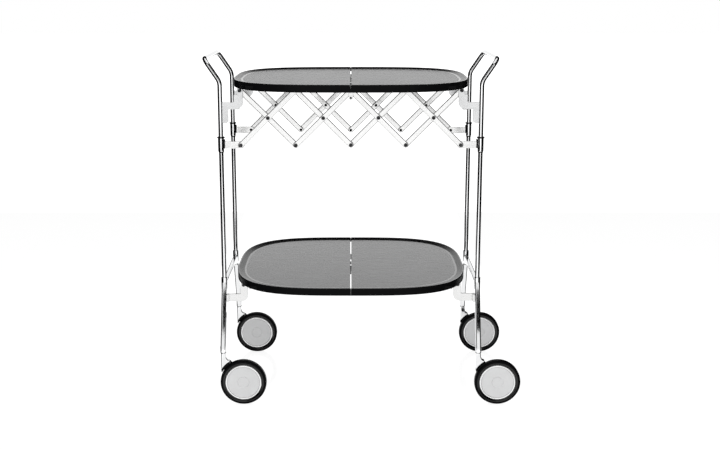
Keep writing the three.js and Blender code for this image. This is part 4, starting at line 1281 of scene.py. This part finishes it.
# Corners of the black cards: beside the trolley, with X outwards from its middle, and round it.
SIDE_CARDS = {
    "flag": ((0.70, -1.3, 0.002), (0.70, 1.6, 0.002), (0.70, 1.6, 1.5), (0.70, -1.3, 1.5)),
    "card": ((0.64, -3.0, 0.003), (3.0, -3.0, 0.003), (3.0, 1.6, 0.003), (0.64, 1.6, 0.003)),
    "strip": ((0.42, -0.5, 0.003), (0.64, -0.5, 0.003), (0.64, 1.6, 0.003), (0.42, 1.6, 0.003)),
}
CARDS = {
    "flag_front_low": ((-0.72, -2.6, 0.785), (1.6, -2.6, 0.785), (1.6, -2.6, 1.08),
                       (-0.72, -2.6, 1.08)),
    "flag_front_high": ((-1.6, -2.6, 1.3), (1.6, -2.6, 1.3), (1.6, -2.6, 2.1), (-1.6, -2.6, 2.1)),
    "flag_front_side": ((1.6, -2.6, 0.6), (1.6, -0.4, 0.45), (1.6, -0.4, 0.85), (1.6, -2.6, 1.08)),
    "flag_back": ((-7, 2.6, 1.4), (7, 2.6, 1.4), (7, 2.6, 10), (-7, 2.6, 10)),
}
# The soft boxes: their distance in front and height, their size and the name of their power.
LAMPS = {
    "soft_box": (-3.0, 1.7, (2.4, 1.4), "key_power"),
    "fill_box": (-2.5, 0.4, (3.0, 0.6), "fill_power"),
}
LAMP_AIM = 0.4


def seen_by(tree, names):
    """One where the ray is of one of the named kinds, else zero."""
    rays = added(tree, "ShaderNodeLightPath", {})
    total = rays.outputs[names[0]]
    for name in names[1:]:
        either = added(tree, "ShaderNodeMath", {})
        either.operation = "MAXIMUM"
        tree.links.new(total, either.inputs[0])
        tree.links.new(rays.outputs[name], either.inputs[1])
        total = either.outputs[0]
    return total


class TROLLEY_OT_stage(Operator):
    """Lays the white floor, and sets the lamps, the dark flags and the camera"""

    bl_idname = "trolley.stage"
    bl_label = "Stage"

    def camera(self, stage):
        data = bpy.data.cameras.new("camera")
        data.sensor_width = SENSOR
        data.lens = stage.focal_length
        data.shift_x = SHIFT_X
        data.shift_y = SHIFT_Y
        camera = bpy.data.objects.new("camera", data)
        camera.location = (MIDDLE_X, -stage.camera_distance, stage.camera_height)
        camera.rotation_euler = (math.pi / 2 - stage.camera_pitch, 0, 0)
        bpy.context.scene.collection.objects.link(camera)
        bpy.context.scene.camera = camera

    def world(self, stage):
        world = bpy.data.worlds.new("studio")
        bpy.context.scene.world = world
        world.use_nodes = True
        tree = world.node_tree
        background = tree.nodes["Background"]
        background.inputs["Color"].default_value = WHITE
        ranged(tree, seen_by(tree, SHOWN_RAYS), stage.room_light, 1, background.inputs["Strength"])

    def sheet(self, name, corners, material):
        mesh = bpy.data.meshes.new(name)
        mesh.from_pydata(corners, [], [(0, 1, 2, 3)])
        mesh.materials.append(material)
        sheet = bpy.data.objects.new(name, mesh)
        bpy.context.scene.collection.objects.link(sheet)
        return sheet

    def floor(self):
        material, shader = principled("floor_sheet", FLOOR_COLOUR, 0, FLOOR_ROUGHNESS)
        shader.inputs["Emission Color"].default_value = WHITE
        tree = material.node_tree
        shown = seen_by(tree, SHOWN_RAYS)
        for socket, low, high in FLOOR_LEVELS:
            ranged(tree, shown, low, high, shader.inputs[socket])
        reach = FLOOR_REACH
        self.sheet("floor", [(-reach, -reach, 0), (reach, -reach, 0), (reach, reach, 0),
                             (-reach, reach, 0)], material)

    def card(self, name, corners):
        """A black card that only reflections see."""
        material, shader = principled("flag_cloth", CARD_COLOUR, 0, 1)
        if shader:
            shader.inputs[SPECULAR].default_value = 0
        card = self.sheet(name, corners, material)
        card.visible_camera = False
        card.visible_diffuse = False
        card.visible_shadow = False

    def cards(self):
        for side_name, side in SIDES:
            for name, corners in SIDE_CARDS.items():
                placed = [(MIDDLE_X + side * x, y, z) for x, y, z in corners]
                self.card(f"{name}_{side_name}", placed)
        for name, corners in CARDS.items():
            self.card(name, corners)

    def lamp(self, name, place, size, power):
        """A soft box that lights the trolley, and that reflections don't see."""
        data = bpy.data.lights.new(name, "AREA")
        data.shape = "RECTANGLE"
        data.size, data.size_y = size
        data.energy = power
        lamp = bpy.data.objects.new(name, data)
        lamp.location = place
        aim = Vector((MIDDLE_X, 0, LAMP_AIM)) - place
        lamp.rotation_euler = aim.to_track_quat("-Z", "Y").to_euler()
        lamp.visible_glossy = False
        bpy.context.scene.collection.objects.link(lamp)

    def execute(self, context):
        stage = context.scene.stage_settings
        self.camera(stage)
        self.world(stage)
        self.floor()
        self.cards()
        for name, (y, z, size, power) in LAMPS.items():
            self.lamp(name, Vector((MIDDLE_X, y, z)), size, getattr(stage, power))
        context.scene.view_settings.view_transform = "Standard"
        return {"FINISHED"}


OPERATORS = (
    TROLLEY_OT_stage,
    TROLLEY_OT_handle_tubes,
    TROLLEY_OT_leg_frames,
    TROLLEY_OT_trays,
    TROLLEY_OT_gates,
    TROLLEY_OT_brackets,
    TROLLEY_OT_sliders,
    TROLLEY_OT_casters,
)

GROUPS = {
    "end_frame_sizes": EndFrameSizes,
    "tray_sizes": TraySizes,
    "gate_sizes": GateSizes,
    "slider_sizes": SliderSizes,
    "caster_sizes": CasterSizes,
    "trolley_colours": TrolleyColours,
    "stage_settings": StageSettings,
}


class TROLLEY_PT_pieces(Panel):
    """Lists the trolley's pieces"""

    bl_label = "Serving trolley"
    bl_idname = "TROLLEY_PT_pieces"
    bl_space_type = "VIEW_3D"
    bl_region_type = "UI"
    bl_category = "Trolley"

    def draw(self, context):
        for operator in OPERATORS:
            self.layout.operator(operator.bl_idname)
        for name in GROUPS:
            box = self.layout.box()
            group = getattr(context.scene, name)
            for value in group.__annotations__:
                box.prop(group, value)


def register():
    for name, group in GROUPS.items():
        bpy.utils.register_class(group)
        setattr(bpy.types.Scene, name, PointerProperty(type=group))
    for item in (*OPERATORS, TROLLEY_PT_pieces):
        bpy.utils.register_class(item)


def unregister():
    for item in reversed((*OPERATORS, TROLLEY_PT_pieces)):
        bpy.utils.unregister_class(item)
    for name, group in GROUPS.items():
        delattr(bpy.types.Scene, name)
        bpy.utils.unregister_class(group)


def main():
    register()
    for operator in OPERATORS:
        family, name = operator.bl_idname.split(".")
        getattr(getattr(bpy.ops, family), name)()


if __name__ == "__main__":
    main()
